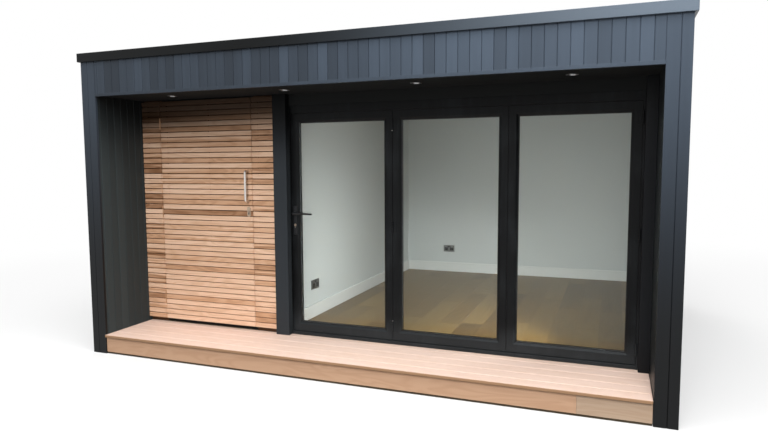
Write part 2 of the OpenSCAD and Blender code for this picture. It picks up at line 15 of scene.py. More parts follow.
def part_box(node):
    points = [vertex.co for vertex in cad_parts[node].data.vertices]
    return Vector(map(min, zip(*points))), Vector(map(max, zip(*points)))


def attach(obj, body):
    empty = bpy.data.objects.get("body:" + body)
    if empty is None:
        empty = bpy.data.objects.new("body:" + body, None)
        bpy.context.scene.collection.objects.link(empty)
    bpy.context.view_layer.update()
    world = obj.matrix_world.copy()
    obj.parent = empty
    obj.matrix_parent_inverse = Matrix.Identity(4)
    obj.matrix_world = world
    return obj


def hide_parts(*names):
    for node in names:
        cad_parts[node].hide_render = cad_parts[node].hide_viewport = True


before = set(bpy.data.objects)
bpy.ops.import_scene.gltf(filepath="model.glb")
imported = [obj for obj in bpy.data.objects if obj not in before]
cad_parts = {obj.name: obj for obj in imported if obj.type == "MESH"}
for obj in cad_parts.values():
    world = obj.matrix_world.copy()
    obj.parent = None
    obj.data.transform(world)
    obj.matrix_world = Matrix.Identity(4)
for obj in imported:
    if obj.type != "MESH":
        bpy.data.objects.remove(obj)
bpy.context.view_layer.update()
LOG = logging.getLogger("pod")

# The plan's left front corner in the row frame, from which the sizes below are measured.
CORNER = Vector((-2.2625, -1.965, 0.0))
FULL_TURN = 2 * math.pi
RIGHT_ANGLE = math.pi / 2
# Less than any size that matters, in metres: in a new mesh, and in one from the CAD.
HAIR = 1e-6
CAD_HAIR = 1e-5
# A plank or a row narrower than this, in metres, is left out.
NARROW = 1e-4
# Faces that meet at less than these angles, in radians, are one face, or are shaded as one.
FLAT_BELOW = 0.01
SMOOTH_BELOW = 0.62
# The furthest that the pattern slides from one board, or one slat or plank, to the next.
BOARD_SLIDE = 60.0
PLANK_SLIDE = 90.0
WHITE = (1.0, 1.0, 1.0)
# Where the soffit's shade on the slats sets in and ends, by height, and the share of each part.
SOFFIT_SHADE = (((1.4, 1.95), 0.29), ((1.92, 2.13), 0.71))
# Where the painted light at the door's foot ends, by height: a painted reflection of the pale deck.
GROUND_LIGHT_HEIGHTS = (0.22, 0.42)
# From the side of the roof trim to its front, along Y, where the trim's painted reflection gives
# way to the even painted light of its sides.
TRIM_FRONT = (-1.90, -1.96)


class Slot(str, Enum):
    """The record's material slots that the pieces here take."""

    CLADDING = "cladding"
    BLACK_TRIM = "black_trim"
    DOOR_ALUMINIUM = "door_aluminium"
    BLACK_HANDLE = "black_handle"
    STEEL = "steel"
    CEDAR = "cedar"
    DECK_TIMBER = "deck_timber"
    BASE_TIMBER = "base_timber"
    FLOOR_OAK = "floor_oak"
    MEMBRANE = "membrane"
    CLEAR_GLASS = "clear_glass"
    WHITE_PAINT = "white_paint"
    WHITE_PLASTIC = "white_plastic"
    LAMP_METAL = "lamp_metal"


class Body(str, Enum):
    """The bodies that pieces ride on."""

    BUILDING = "building"
    STORE_DOOR = "store_door"
    LEVER = "lever"


class Along(Enum):
    """The direction of a board's grain, as the stretch of its pattern."""

    X = (0.16, 1.0, 1.0)
    Y = (1.0, 0.16, 1.0)
    Z = (1.0, 1.0, 0.16)

    def drawn(self, factor: float) -> list[float]:
        """The stretch for fibres, which are drawn out further."""
        return [factor * s if s < 1 else s for s in self.value]


Triple = tuple[float, float, float]
Colour = Triple
Point = Sequence[float]
Profile = Sequence[tuple[float, float]]
Value = Union[float, "Wire"]


# ---- shader trees


def srgb(code: str) -> Colour:
    """Turns a colour code such as "8fa0b0" into linear red, green and blue."""
    parts = [int(code[i : i + 2], 16) / 255 for i in (0, 2, 4)]
    return tuple(p / 12.92 if p <= 0.04045 else ((p + 0.055) / 1.055) ** 2.4 for p in parts)


class Wire:
    """One socket of a shader tree; arithmetic on it adds Math nodes."""

    def __init__(self, graph: "Graph", socket: bpy.types.NodeSocket) -> None:
        """Keeps the tree and the socket."""
        self.graph = graph
        self.socket = socket

    def _math(self, operation: str, first: Value, second: Value) -> "Wire":
        """Adds a Math node on two values."""
        return self.graph.node("Math", {"operation": operation}, {0: first, 1: second})

    def __add__(self, other: Value) -> "Wire":
        """self + other."""
        return self._math("ADD", self, other)

    __radd__ = __add__

    def __mul__(self, other: Value) -> "Wire":
        """self * other."""
        return self._math("MULTIPLY", self, other)

    __rmul__ = __mul__

    def __sub__(self, other: Value) -> "Wire":
        """self - other."""
        return self._math("SUBTRACT", self, other)

    def __rsub__(self, other: Value) -> "Wire":
        """other - self."""
        return self._math("SUBTRACT", other, self)

    def __pow__(self, other: Value) -> "Wire":
        """self ** other."""
        return self._math("POWER", self, other)

    def between(self, low: float, high: float) -> "Wire":
        """Maps self onto 0 to 1, clamped, with soft ends.

        Args:
            low: The value that gives 0.
            high: The value that gives 1; it may be the lesser of the two.

        Returns:
            The mapped value.
        """
        settings = {"interpolation_type": "SMOOTHSTEP"}
        inputs = {"Value": self, "From Min": low, "From Max": high}
        return self.graph.node("MapRange", settings, inputs)

    def most(self, other: Value) -> "Wire":
        """The greater of self and other."""
        return self._math("MAXIMUM", self, other)


class Graph:
    """The node tree of one material, or of the world."""

    def __init__(self, owner: Union[bpy.types.Material, bpy.types.World]) -> None:
        """Starts an empty tree with its output.

        Args:
            owner: The material or the world that the tree belongs to.
        """
        self.owner = owner
        owner.use_nodes = True
        self.tree = owner.node_tree
        self.tree.nodes.clear()
        kind = "World" if isinstance(owner, bpy.types.World) else "Material"
        self.end = self.tree.nodes.new("ShaderNodeOutput" + kind)

    def node(self, kind: str, settings: dict, inputs: dict, output: Union[int, str] = 0) -> Wire:
        """Adds a node.

        Args:
            kind: The node's type without its ShaderNode prefix.
            settings: Its properties, set first; "stops" are a ramp's (place, colour) pairs.
            inputs: Values or wires by socket name or number.
            output: The output that is wanted.

        Returns:
            The wire of that output.
        """
        made = self.tree.nodes.new("ShaderNode" + kind)
        for key, value in settings.items():
            if key == "stops":
                ramp = made.color_ramp.elements
                while len(ramp) < len(value):
                    ramp.new(0.5)
                for stop, (place, colour) in zip(ramp, value):
                    stop.position, stop.color = place, (*colour, 1.0)
            else:
                setattr(made, key, value)
        for key, value in inputs.items():
            if isinstance(value, Wire):
                self.tree.links.new(value.socket, made.inputs[key])
            elif isinstance(value, tuple) and len(value) == 3 and made.inputs[key].type == "RGBA":
                made.inputs[key].default_value = (*value, 1.0)
            else:
                made.inputs[key].default_value = value
        return Wire(self, made.outputs[output])

    def place(self) -> Wire:
        """Object coordinates, which are the row frame's for every piece."""
        return self.node("TexCoord", {}, {}, "Object")

    def axis(self, name: str) -> Wire:
        """One of the object coordinates, in metres."""
        return self.node("SeparateXYZ", {}, {0: self.place()}, name)

    def ray(self, kind: str) -> Wire:
        """1 for one kind of ray."""
        return self.node("LightPath", {}, {}, f"Is {kind} Ray")

    def face(self, name: str) -> Wire:
        """A number that each face carries."""
        return self.node("Attribute", {"attribute_name": name}, {}, "Fac")

    def moved(self, vector: Wire, scale: Sequence[float], offset: Wire | None = None) -> Wire:
        """Stretches coordinates, and slides them by a number so that boards differ.

        Args:
            vector: The coordinates.
            scale: The stretch along each axis.
            offset: A number added along every axis after the stretch.

        Returns:
            The new coordinates.
        """
        out = self.node("Mapping", {}, {"Vector": vector, "Scale": tuple(scale)})
        if offset is None:
            return out
        return self.node("VectorMath", {"operation": "ADD"}, {0: out, 1: offset})

    def noise(self, vector: Wire, scale: float, detail: float = 2.0, bend: float = 0.0) -> Wire:
        """A noise from 0 to 1 on coordinates."""
        inputs = {"Vector": vector, "Scale": scale, "Detail": detail, "Distortion": bend}
        return self.node("TexNoise", {}, inputs, "Fac")

    def mix(self, factor: Value, first: Union[Colour, Wire], second: Union[Colour, Wire]) -> Wire:
        """Mixes two colours."""
        settings = {"data_type": "RGBA"}
        return self.node("Mix", settings, {0: factor, 6: first, 7: second}, 2)

    def ramp(self, factor: Wire, stops: Iterable[tuple[float, Colour]]) -> Wire:
        """A colour ramp."""
        return self.node("ValToRGB", {"stops": list(stops)}, {"Fac": factor})

    def bump(self, height: Wire, distance: float, strength: float = 1.0) -> Wire:
        """A bump from a height, with its depth in metres."""
        inputs = {"Height": height, "Distance": distance, "Strength": strength}
        return self.node("Bump", {}, inputs)

    def principled(self, **inputs: Union[Value, Colour]) -> Wire:
        """A Principled shader; underscores in the names stand for spaces."""
        named = {key.replace("_", " "): value for key, value in inputs.items()}
        return self.node("BsdfPrincipled", {}, named)

    def close(self, shader: Wire) -> Union[bpy.types.Material, bpy.types.World]:
        """Joins the shader to the output and gives the tree's owner."""
        self.tree.links.new(shader.socket, self.end.inputs["Surface"])
        return self.owner


MADE: dict[str, bpy.types.Material] = {}


@dataclass(frozen=True)
class Finish:
    """A surface finish with a name; each kind writes its own shader."""

    name: str

    def shader(self, g: Graph) -> Wire:
        """Writes the shader into a tree.

        Args:
            g: The material's tree.

        Returns:
            The shader.
        """
        raise NotImplementedError

    def material(self) -> bpy.types.Material:
        """Makes the finish's material, once.

        Returns:
            The material.
        """
        if self.name not in MADE:
            g = Graph(bpy.data.materials.new(self.name))
            MADE[self.name] = g.close(self.shader(g))
        return MADE[self.name]


@dataclass(frozen=True)
class OiledWood(Finish):
    """Planed or sawn wood with growth rings, fibres and a tone of its own for each board.

    Attributes:
        pale, mid, dark: The colours of its lightest, middling and darkest wood.
        along: The direction of the grain.
        gloss: The mean roughness.
        lines: The scale of the growth rings.
        relief: The depth of the grain, in metres.
        own_tone: Whether each board carries a tone of its own.
        sapwood: How far the darker boards lighten in streaks of sapwood.
        painted_soffit_shade: How far the soffit's shade is painted into the wood, darkening it.
        shine: The specular level.
    """

    pale: Colour
    mid: Colour
    dark: Colour
    along: Along
    gloss: float = 0.55
    lines: float = 9.0
    relief: float = 0.0004
    own_tone: bool = True
    sapwood: float = 0.0
    painted_soffit_shade: float = 0.0
    shine: float = 0.3

    def shader(self, g: Graph) -> Wire:
        """Grain from a noise drawn out along the board and cut into bands.

        Args:
            g: The material's tree.

        Returns:
            The shader.
        """
        shift, drawn = g.face("shift"), self.along.drawn(0.1)
        near = g.moved(g.place(), self.along.value, shift)
        band = self.banded(g, g.noise(near, self.lines, 2.0, 0.6))
        fibre = g.noise(g.moved(g.place(), drawn, shift), 420.0, 3.0)
        patch = g.noise(near, 2.3, 1.0)
        swirl = g.noise(g.moved(g.place(), drawn, shift + 7.0), 34.0, 1.0, 0.5)
        tone = g.face("tone") if self.own_tone else g.noise(g.place(), 1.4, 0.0)
        sap = swirl.between(0.57, 0.62) * tone * self.sapwood
        depth = tone * 0.74 + band * 0.16 + fibre * 0.18 + patch * 0.20 - 0.14 - sap
        colour = g.ramp(depth, [(0.0, self.pale), (0.5, self.mid), (1.0, self.dark)])
        # Painted shade: the wood darkens towards the soffit above it.
        if self.painted_soffit_shade:
            painted_shade_colour = tuple(0.1 * c for c in self.dark)
            colour = g.mix(self.shade(g) * self.painted_soffit_shade, colour, painted_shade_colour)
        return g.principled(
            Base_Color=colour, Roughness=self.gloss + fibre * 0.16 - 0.08,
            Normal=g.bump(band * 0.6 + fibre * 0.5, self.relief, 0.6),
            Specular_IOR_Level=self.shine,
        )

    @staticmethod
    def shade(g: Graph) -> Wire:
        """The soffit's shade, which hangs a little lower towards the left.

        Args:
            g: The material's tree.

        Returns:
            0 in the open, 1 right under the soffit.
        """
        level = g.axis("Z") - g.axis("X") * 0.05
        low, high = (level.between(*span) * share for span, share in SOFFIT_SHADE)
        return low + high

    @staticmethod
    def banded(g: Graph, figure: Wire) -> Wire:
        """Cuts a smooth noise into soft growth rings."""
        wave = g.node("Math", {"operation": "SINE"}, {0: figure * 46.0})
        return (wave * 0.5 + 0.5) ** 1.6


@dataclass(frozen=True)
class PaintedBoard(Finish):
    """Paint on boards: fine grain under it, board by board tone and soft wear.

    Attributes:
        colour: The paint's colour.
        worn_and_lit: Its colour where it has worn; in the boards with painted light, also where
            that light is painted in.
        gloss: The mean roughness.
        sheen: The specular level.
        along: The direction of the grain.
        own_tone: Whether each board carries a tone of its own.
    """

    colour: Colour
    worn_and_lit: Colour
    gloss: float = 0.42
    sheen: float = 0.3
    along: Along = Along.Z
    own_tone: bool = True

    def shader(self, g: Graph) -> Wire:
        """Fibres in the relief; tone and cloudy wear in the colour.

        Args:
            g: The material's tree.

        Returns:
            The shader.
        """
        place, shift = g.place(), g.face("shift")
        near = g.moved(place, self.along.value, shift)
        far = g.moved(place, self.along.drawn(0.12), shift)
        fibre, streak = g.noise(far, 260.0, 3.0), g.noise(far, 46.0, 2.0)
        grain, cloud = g.noise(near, 38.0, 2.0, 0.5), g.noise(near, 5.0, 3.0)
        tone = g.face("tone") if self.own_tone else g.noise(place, 0.8, 1.0)
        wear = (tone * 0.45 + cloud * 0.4 + streak * 0.3 + grain * 0.2 - 0.35).between(0.0, 1.0)
        return g.principled(
            Base_Color=g.mix(self.wear_and_painted_light(g, wear, tone), self.colour, self.worn_and_lit),
            Roughness=self.gloss + grain * 0.12 + cloud * 0.08 - 0.1,
            Normal=g.bump(fibre * 0.5 + grain, 0.0005, 0.55), Specular_IOR_Level=self.sheen,
        )

    def wear_and_painted_light(self, g: Graph, wear: Wire, tone: Wire) -> Wire:
        """How far the paint shows wear; boards with painted light add that here.

        Args:
            g: The material's tree.
            wear: The soft wear, from 0 to 1.
            tone: The board's tone.

        Returns:
            The share of the second colour.
        """
        return wear * 0.7


@dataclass(frozen=True)
class LitAndWornBoard(PaintedBoard):
    """Painted boards with soft wear and painted light, which grows with height and towards one end;
    set to fall, it is painted shade.

    Attributes:
        share: How much of the second colour follows the wear.
        top_light: The painted light that is even across the boards, scaled by height.
        rise: The heights from which and up to which the painted light grows; where they fall, the
            top is painted darker.
        end_light: The painted light gained towards the right end; a negative value paints shade
            there.
        reach: The places along X from which and up to which it gains that.
        curve: The power of that gain.
        variety: How far the boards' tones change it.
        returns: Where given, the painted light on the sides, which take none of the end's light.
    """

    share: float = 0.24
    top_light: float = 0.4
    rise: tuple[float, float] = (0.2, 2.6)
    end_light: float = 0.0
    reach: tuple[float, float] = (-1.2, 1.6)
    curve: float = 1.0
    variety: float = 0.3
    returns: float | None = None

    def wear_and_painted_light(self, g: Graph, wear: Wire, tone: Wire) -> Wire:
        """Wear and painted light, which grow with height and towards one end, scaled by each
        board's tone.

        Args:
            g: The material's tree.
            wear: The soft wear, from 0 to 1.
            tone: The board's tone.

        Returns:
            The share of the second colour.
        """
        # Painted light by height, which paints shade at the top where the heights fall.
        height = g.axis("Z").between(*self.rise) ** 1.5
        # Painted light towards the right end, which paints shade there where it is negative.
        gain = g.axis("X").between(*self.reach) ** self.curve * self.end_light
        if self.returns is not None:
            gain = (gain - self.returns) * g.axis("Y").between(*TRIM_FRONT) + self.returns
        mass = wear * self.share + self.top_light + gain
        return mass * height * (tone * self.variety + (1.0 - self.variety / 2))


@dataclass(frozen=True)
class PowderCoat(Finish):
    """Powder coat on metal: a fine orange-peel relief and dust, and a painted reflection of the
    ground that lightens it near the foot.
    """

    colour: Colour
    dust: Colour
    gloss: float = 0.38
    peel: float = 900.0
    sheen: float = 0.25
    ground_light: float = 0.0

    def shader(self, g: Graph) -> Wire:
        """Orange peel in the relief, dust clouds in colour and roughness.

        Args:
            g: The material's tree.

        Returns:
            The shader.
        """
        place = g.place()
        cloud = g.noise(place, 3.5, 4.0)
        streak = g.noise(g.moved(place, (1.0, 1.0, 0.12)), 24.0, 3.0)
        veil = (cloud * 0.6 + streak * 0.4).between(0.45, 0.75)
        # Painted reflection of the pale deck and ground: lighter towards the foot.
        low = 1.0 - g.axis("Z").between(*GROUND_LIGHT_HEIGHTS)
        colour = g.mix(veil * 0.5 + low * self.ground_light, self.colour, self.dust)
        rough = self.gloss + veil * 0.12
        normal = g.bump(g.noise(place, self.peel, 1.0), 0.00008, 0.5)
        return g.principled(
            Base_Color=colour, Roughness=rough, Normal=normal, Specular_IOR_Level=self.sheen
        )


@dataclass(frozen=True)
class BrushedMetal(Finish):
    """Bare metal with brush lines along one axis."""

    colour: Colour
    stretch: Triple
    rough: float = 0.28

    def shader(self, g: Graph) -> Wire:
        """Brush lines in roughness and relief.

        Args:
            g: The material's tree.

        Returns:
            The shader.
        """
        lines = g.noise(g.moved(g.place(), self.stretch), 1600.0, 2.0)
        smear = g.noise(g.place(), 30.0, 3.0)
        rough = self.rough + lines * 0.14 + smear * 0.10 - 0.1
        normal = g.bump(lines, 0.00004, 0.5)
        colour = g.mix(smear * 0.4, self.colour, tuple(0.8 * c for c in self.colour))
        return g.principled(Base_Color=colour, Metallic=1.0, Roughness=rough, Normal=normal)


@dataclass(frozen=True)
class RolledPaint(Finish):
    """Emulsion rolled on board: a fine stipple and a faint unevenness."""

    colour: Colour
    shade: Colour
    rough: float = 0.85
    stipple: float = 420.0

    def shader(self, g: Graph) -> Wire:
        """Roller stipple in the relief.

        Args:
            g: The material's tree.

        Returns:
            The shader.
        """
        place = g.place()
        cloud = g.noise(place, 1.6, 3.0)
        stipple = g.noise(place, self.stipple, 2.0)
        colour = g.mix(cloud * 0.6, self.colour, self.shade)
        normal = g.bump(stipple, 0.0003, 0.4)
        return g.principled(Base_Color=colour, Roughness=self.rough, Normal=normal)


@dataclass(frozen=True)
class RubberSheet(Finish):
    """Rubber roofing or a gasket: matt, with a fine skin and chalky dust."""

    colour: Colour
    dust: Colour

    def shader(self, g: Graph) -> Wire:
        """Dust clouds over a finely creased skin.

        Args:
            g: The material's tree.

        Returns:
            The shader.
        """
        place = g.place()
        cloud = g.noise(place, 1.3, 5.0, 0.4)
        skin = g.noise(place, 620.0, 2.0)
        veil = cloud.between(0.4, 0.72)
        colour = g.mix(veil * 0.55, self.colour, self.dust)
        normal = g.bump(skin, 0.0002, 0.4)
        return g.principled(Base_Color=colour, Roughness=veil * 0.15 + 0.62, Normal=normal)


@dataclass(frozen=True)
class ClearGlass(Finish):
    """Clear float glass that lets the lamps through, with faint marks of wiping."""

    tint: Colour
    bending: float = 1.22

    def shader(self, g: Graph) -> Wire:
        """Glass for every ray but a shadow's or a bounced one, for which it is open.

        Args:
            g: The material's tree.

        Returns:
            The shader.
        """
        smear = g.noise(g.moved(g.place(), (1.0, 1.0, 0.4)), 3.0, 4.0, 0.8)
        rough = smear.between(0.55, 0.8) * 0.02
        glass = g.principled(
            Base_Color=self.tint, Roughness=rough, IOR=self.bending, Transmission_Weight=1.0
        )
        opening = g.node("BsdfTransparent", {}, {"Color": self.tint})
        either = g.ray("Shadow").most(g.ray("Diffuse"))
        return g.node("MixShader", {}, {0: either, 1: glass, 2: opening})


@dataclass(frozen=True)
class MouldedPlastic(Finish):
    """Moulded plastic with a fine satin texture."""

    colour: Colour
    rough: float = 0.32

    def shader(self, g: Graph) -> Wire:
        """A fine texture and slight handling marks.

        Args:
            g: The material's tree.

        Returns:
            The shader.
        """
        place = g.place()
        texture = g.noise(place, 1400.0, 1.0)
        marks = g.noise(place, 22.0, 3.0)
        rough = self.rough + marks * 0.14 - 0.07
        colour = g.mix(marks * 0.5, self.colour, tuple(0.93 * c for c in self.colour))
        normal = g.bump(texture, 0.00005, 0.4)
        return g.principled(Base_Color=colour, Roughness=rough, Normal=normal)


# Cladding paint with soft wear and painted light that lightens it towards the top.
CLADDING = LitAndWornBoard("cladding_paint", srgb("101112"), srgb("5b6878"), sheen=0.2)
# The front's paint: painted light towards the top, and a painted sheen that lightens it towards the
# right end.
FRONT = LitAndWornBoard(
    "front_paint", srgb("101112"), srgb("5b6878"), sheen=0.2, top_light=0.20, end_light=0.35,
    reach=(-1.3, 2.2),
)
# The wings' inner sides: painted shade, darker towards the top under the soffit and darker on the
# right wing.
SHADED_INNER = LitAndWornBoard(
    "shaded_inner_paint", srgb("191b1c"), srgb("373f41"), sheen=0.15, top_light=0.8, rise=(2.4, 1.5),
    end_light=-0.65, reach=(-1.0, 1.0),
)
# The roof trim: a painted sky reflection that lightens it towards the right end, and less of it on
# its sides.
TRIM = LitAndWornBoard(
    "trim_paint", srgb("0c0d0d"), srgb("717d8a"), 0.3, 0.15, Along.X, False, share=0.03,
    top_light=0.0, end_light=0.9, reach=(-0.9, 2.75), curve=1.5, variety=0.1, returns=0.16,
)
# The corner post's paint: painted shade that darkens it towards the top under the soffit.
POST = LitAndWornBoard(
    "post_paint", srgb("0c0d0e"), srgb("33373b"), 0.4, 0.1, own_tone=False, top_light=0.8,
    rise=(2.15, 1.5),
)
# A lighter copy of the black board for the door heads: painted light in the soffit's deep shade.
LIT_HEAD_BOARD = PaintedBoard("lit_head_board", srgb("262727"), srgb("313232"), 0.7, 0.1, Along.X, False)
RETURN = PaintedBoard("return_paint", srgb("101113"), srgb("1b1d20"), 0.4, 0.15, own_tone=False)
BLACK_BOARD = PaintedBoard("black_board", srgb("191a1a"), srgb("242525"), 0.7, 0.1, Along.X, False)
BACKING = PaintedBoard("slat_backing", srgb("4a3323"), srgb("5a402c"), 0.7, 0.2, own_tone=False)
ALUMINIUM = PowderCoat("door_coating", srgb("0d0e0f"), srgb("2b2e30"), sheen=0.12, ground_light=0.8)
BARREL = PowderCoat("barrel_coating", srgb("b88f6d"), srgb("c79d7a"))
GUTTER = PowderCoat("gutter_coating", srgb("1f2226"), srgb("363b41"), 0.42)
HANDLE = PowderCoat("handle_coating", srgb("191a1c"), srgb("26272a"), 0.3, 1400.0)
# Cedar with the soffit's shade painted in over its top rows.
CEDAR = OiledWood(
    "oiled_cedar", srgb("e8c5aa"), srgb("c79c7b"), srgb("825b3f"), Along.X, 0.5, sapwood=0.5,
    painted_soffit_shade=0.93, shine=0.15,
)
# The deck's top wood is a paler copy of its fascia's: painted light from above.
DECK_TOP = OiledWood("deck_top", srgb("e8cfc3"), srgb("dfc2b0"), srgb("a17e60"), Along.X, 0.5)
DECK_EDGE = OiledWood("deck_edge", srgb("d5af91"), srgb("c0987a"), srgb("9e765a"), Along.X, 0.5)
DECK_END = OiledWood("deck_end", srgb("cab39c"), srgb("b99e86"), srgb("987b62"), Along.X, 0.5)
OAK = OiledWood("oak_planks", srgb("917647"), srgb("7b6034"), srgb("594220"), Along.Y, 0.4)
TREATED = OiledWood(
    "treated_timber", srgb("5c5140"), srgb("4a4032"), srgb("383025"), Along.Y, 0.85, 7.0, 0.0009,
    False,
)
SAWN = OiledWood(
    "sawn_timber", srgb("c2ad82"), srgb("a78f63"), srgb("84704b"), Along.Y, 0.8, 7.0, 0.0009,
    False,
)
PLASTER = RolledPaint("white_emulsion", srgb("d4d8d8"), srgb("cacece"))
SATIN_WHITE = RolledPaint("white_satin", srgb("e6e7e6"), srgb("dcdddc"), 0.4, 200.0)
MEMBRANE = RubberSheet("roof_rubber", srgb("2b2d2f"), srgb("4a4c4d"))
GASKET = RubberSheet("gasket_rubber", srgb("0a0a0b"), srgb("121213"))
GLASS = ClearGlass("float_glass", (0.965, 0.985, 0.975))
STEEL = BrushedMetal("brushed_steel", srgb("e6e3e0"), (1.0, 1.0, 0.03))
NICKEL = BrushedMetal("satin_nickel", srgb("8f9091"), (0.05, 1.0, 1.0), 0.34)
SATIN = BrushedMetal("satin_plate", srgb("bba692"), (1.0, 1.0, 0.05), 0.42)
DULL = BrushedMetal("dull_brass", srgb("77726b"), (1.0, 1.0, 0.05), 0.5)
SPACER = BrushedMetal("spacer_bar", srgb("8a8f94"), (0.05, 1.0, 0.05), 0.5)
BLACK_PLASTIC = MouldedPlastic("black_plastic", srgb("18191a"))
LENS = MouldedPlastic("frosted_lens", srgb("e9eae8"), 0.5)


# ---- shapes


def at(x: float, y: float, z: float) -> Vector:
    """A point measured from the plan's left front corner, in metres."""
    return CORNER + Vector((x, y, z))


def outward(point: Vector) -> Matrix:
    """The place at a point whose own Z looks out of the front, towards -Y."""
    return Matrix.Translation(point) @ Matrix.Rotation(RIGHT_ANGLE, 4, "X")


def fan(start: float, turn: float, steps: int) -> list[float]:
    """Angles in radians, in even steps from a start through a turn that are in degrees."""
    return [math.radians(start + turn * i / steps) for i in range(steps + 1)]


def points_of(geometry: Iterable[object]) -> list[bmesh.types.BMVert]:
    """The points among what an operator gives back."""
    return [g for g in geometry if isinstance(g, bmesh.types.BMVert)]


class Shape:
    """A mesh under construction, whose faces carry a tone and a shift for their board."""

    def __init__(self) -> None:
        """Starts an empty mesh with its face numbers."""
        self.bm = bmesh.new()
        layers = self.bm.faces.layers
        self.tone = layers.float.new("tone")
        self.shift = layers.float.new("shift")
        self.marked = layers.int.new("marked")

    def block(
        self, low: Point, high: Point, ease: float = 0.001, steps: int = 1,
        within: Matrix = Matrix(),
    ) -> None:
        """Adds a block with eased edges.

        Args:
            low: Its lowest corner.
            high: Its highest corner.
            ease: The width of the easing.
            steps: The facets across the easing.
            within: The axes that its corners are measured in.
        """
        low, high = Vector(low), Vector(high)
        size = high - low
        place = within @ Matrix.Translation((low + high) / 2) @ Matrix.Diagonal((*size, 1.0))
        verts = bmesh.ops.create_cube(self.bm, size=1.0, matrix=place)["verts"]
        self.ease((e for v in verts for e in v.link_edges), min(ease, 0.4 * min(size)), steps)

    def ease(self, edges: Iterable[bmesh.types.BMEdge], width: float, steps: int = 1) -> None:
        """Bevels edges."""
        bmesh.ops.bevel(
            self.bm, geom=list(dict.fromkeys(edges)), offset=width, offset_type="OFFSET",
            segments=steps, profile=0.5, affect="EDGES", clamp_overlap=True, material=-1,
        )

    def grown(self, faces: Sequence[bmesh.types.BMFace]) -> list[bmesh.types.BMVert]:
        """Extrudes faces where they lie, and gives the new points to move."""
        made = bmesh.ops.extrude_face_region(self.bm, geom=list(faces), use_keep_orig=True)
        return points_of(made["geom"])

    def prism(self, outline: Profile, place: Matrix, height: float) -> None:
        """Extrudes a flat outline.

        Args:
            outline: Its corners, in the plane that place puts at its own XY.
            place: Where the outline lies.
            height: How far it is drawn out along its own Z.
        """
        verts = [self.bm.verts.new(place @ Vector((a, b, 0.0))) for a, b in outline]
        tops = self.grown([self.bm.faces.new(verts)])
        step = place.to_3x3() @ Vector((0.0, 0.0, height))
        bmesh.ops.translate(self.bm, verts=tops, vec=step)
        near = dict.fromkeys(f for v in verts + tops for f in v.link_faces)
        bmesh.ops.recalc_face_normals(self.bm, faces=list(near))

    def rim(self, low: Vector, high: Vector, width: float, depth: float) -> None:
        """Adds an upright rectangular ring that faces -Y.

        Args:
            low: Its lowest corner, on the face.
            high: Its highest corner, on the face.
            width: The width of the ring's sides.
            depth: Its depth along +Y.
        """
        inset = Vector((width, 0.0, width))
        loops = []
        for a, b in ((low, high), (low + inset, high - inset)):
            corners = [(a.x, a.z), (b.x, a.z), (b.x, b.z), (a.x, b.z)]
            verts = [self.bm.verts.new((x, low.y, z)) for x, z in corners]
            loops += [self.bm.edges.new((v, verts[i - 1])) for i, v in enumerate(verts)]
        tops = self.grown(bmesh.ops.bridge_loops(self.bm, edges=loops)["faces"])
        bmesh.ops.translate(self.bm, verts=tops, vec=(0.0, depth, 0.0))
        bmesh.ops.recalc_face_normals(self.bm, faces=self.island(tops))

    def turned(self, profile: Profile, place: Matrix, steps: int = 40) -> None:
        """Spins a profile of (radius, height) pairs about its own Z.

        Args:
            profile: The pairs, from one end to the other.
            place: Where the axis stands.
            steps: The facets round the turn.
        """
        verts = [self.bm.verts.new(place @ Vector((r, 0.0, h))) for r, h in profile]
        edges = [self.bm.edges.new(pair) for pair in zip(verts, verts[1:])]
        made = bmesh.ops.spin(
            self.bm, geom=verts + edges, cent=place.to_translation(),
            axis=place.to_3x3() @ Vector((0.0, 0.0, 1.0)), angle=FULL_TURN, steps=steps,
            use_merge=True, use_duplicate=False,
        )["geom_last"]
        near = self.island(points_of(made) + [v for v in verts if v.is_valid])
        points = list(dict.fromkeys(v for f in near for v in f.verts))
        bmesh.ops.remove_doubles(self.bm, verts=points, dist=HAIR)
        near = list(dict.fromkeys(f for v in points if v.is_valid for f in v.link_faces))
        for f in near:
            f.smooth = True
        bmesh.ops.recalc_face_normals(self.bm, faces=near)

    def screw(self, place: Matrix, radius: float, flat: float, proud: float, steps: int) -> None:
        """Adds the head of a screw.

        Args:
            place: Its middle on the face that it stands on, with its own Z pointing out.
            radius: Its radius.
            flat: The radius of its flat top.
            proud: The height of its top.
            steps: The facets round it.
        """
        sunk, shoulder = -0.001, 0.0004
        profile = [(0.0, sunk), (radius, sunk), (radius, shoulder), (flat, proud), (0.0, proud)]
        self.turned(profile, place, steps)

    def island(self, starts: Iterable[bmesh.types.BMVert]) -> list[bmesh.types.BMFace]:
        """Finds the faces that are joined to some points.

        Args:
            starts: The points; those that a merge has taken away are passed over.

        Returns:
            The faces.
        """
        seen: dict[bmesh.types.BMVert, None] = {}
        wait = [v for v in starts if v.is_valid]
        while wait:
            v = wait.pop()
            if v not in seen:
                seen[v] = None
                wait += [e.other_vert(v) for e in v.link_edges]
        return list(dict.fromkeys(f for v in seen for f in v.link_faces))

    def inner(self, ring: Sequence[bmesh.types.BMVert]) -> list[bmesh.types.BMEdge]:
        """The edges that join points of a ring."""
        own = set(ring)
        return list(dict.fromkeys(e for v in ring for e in v.link_edges if own >= set(e.verts)))

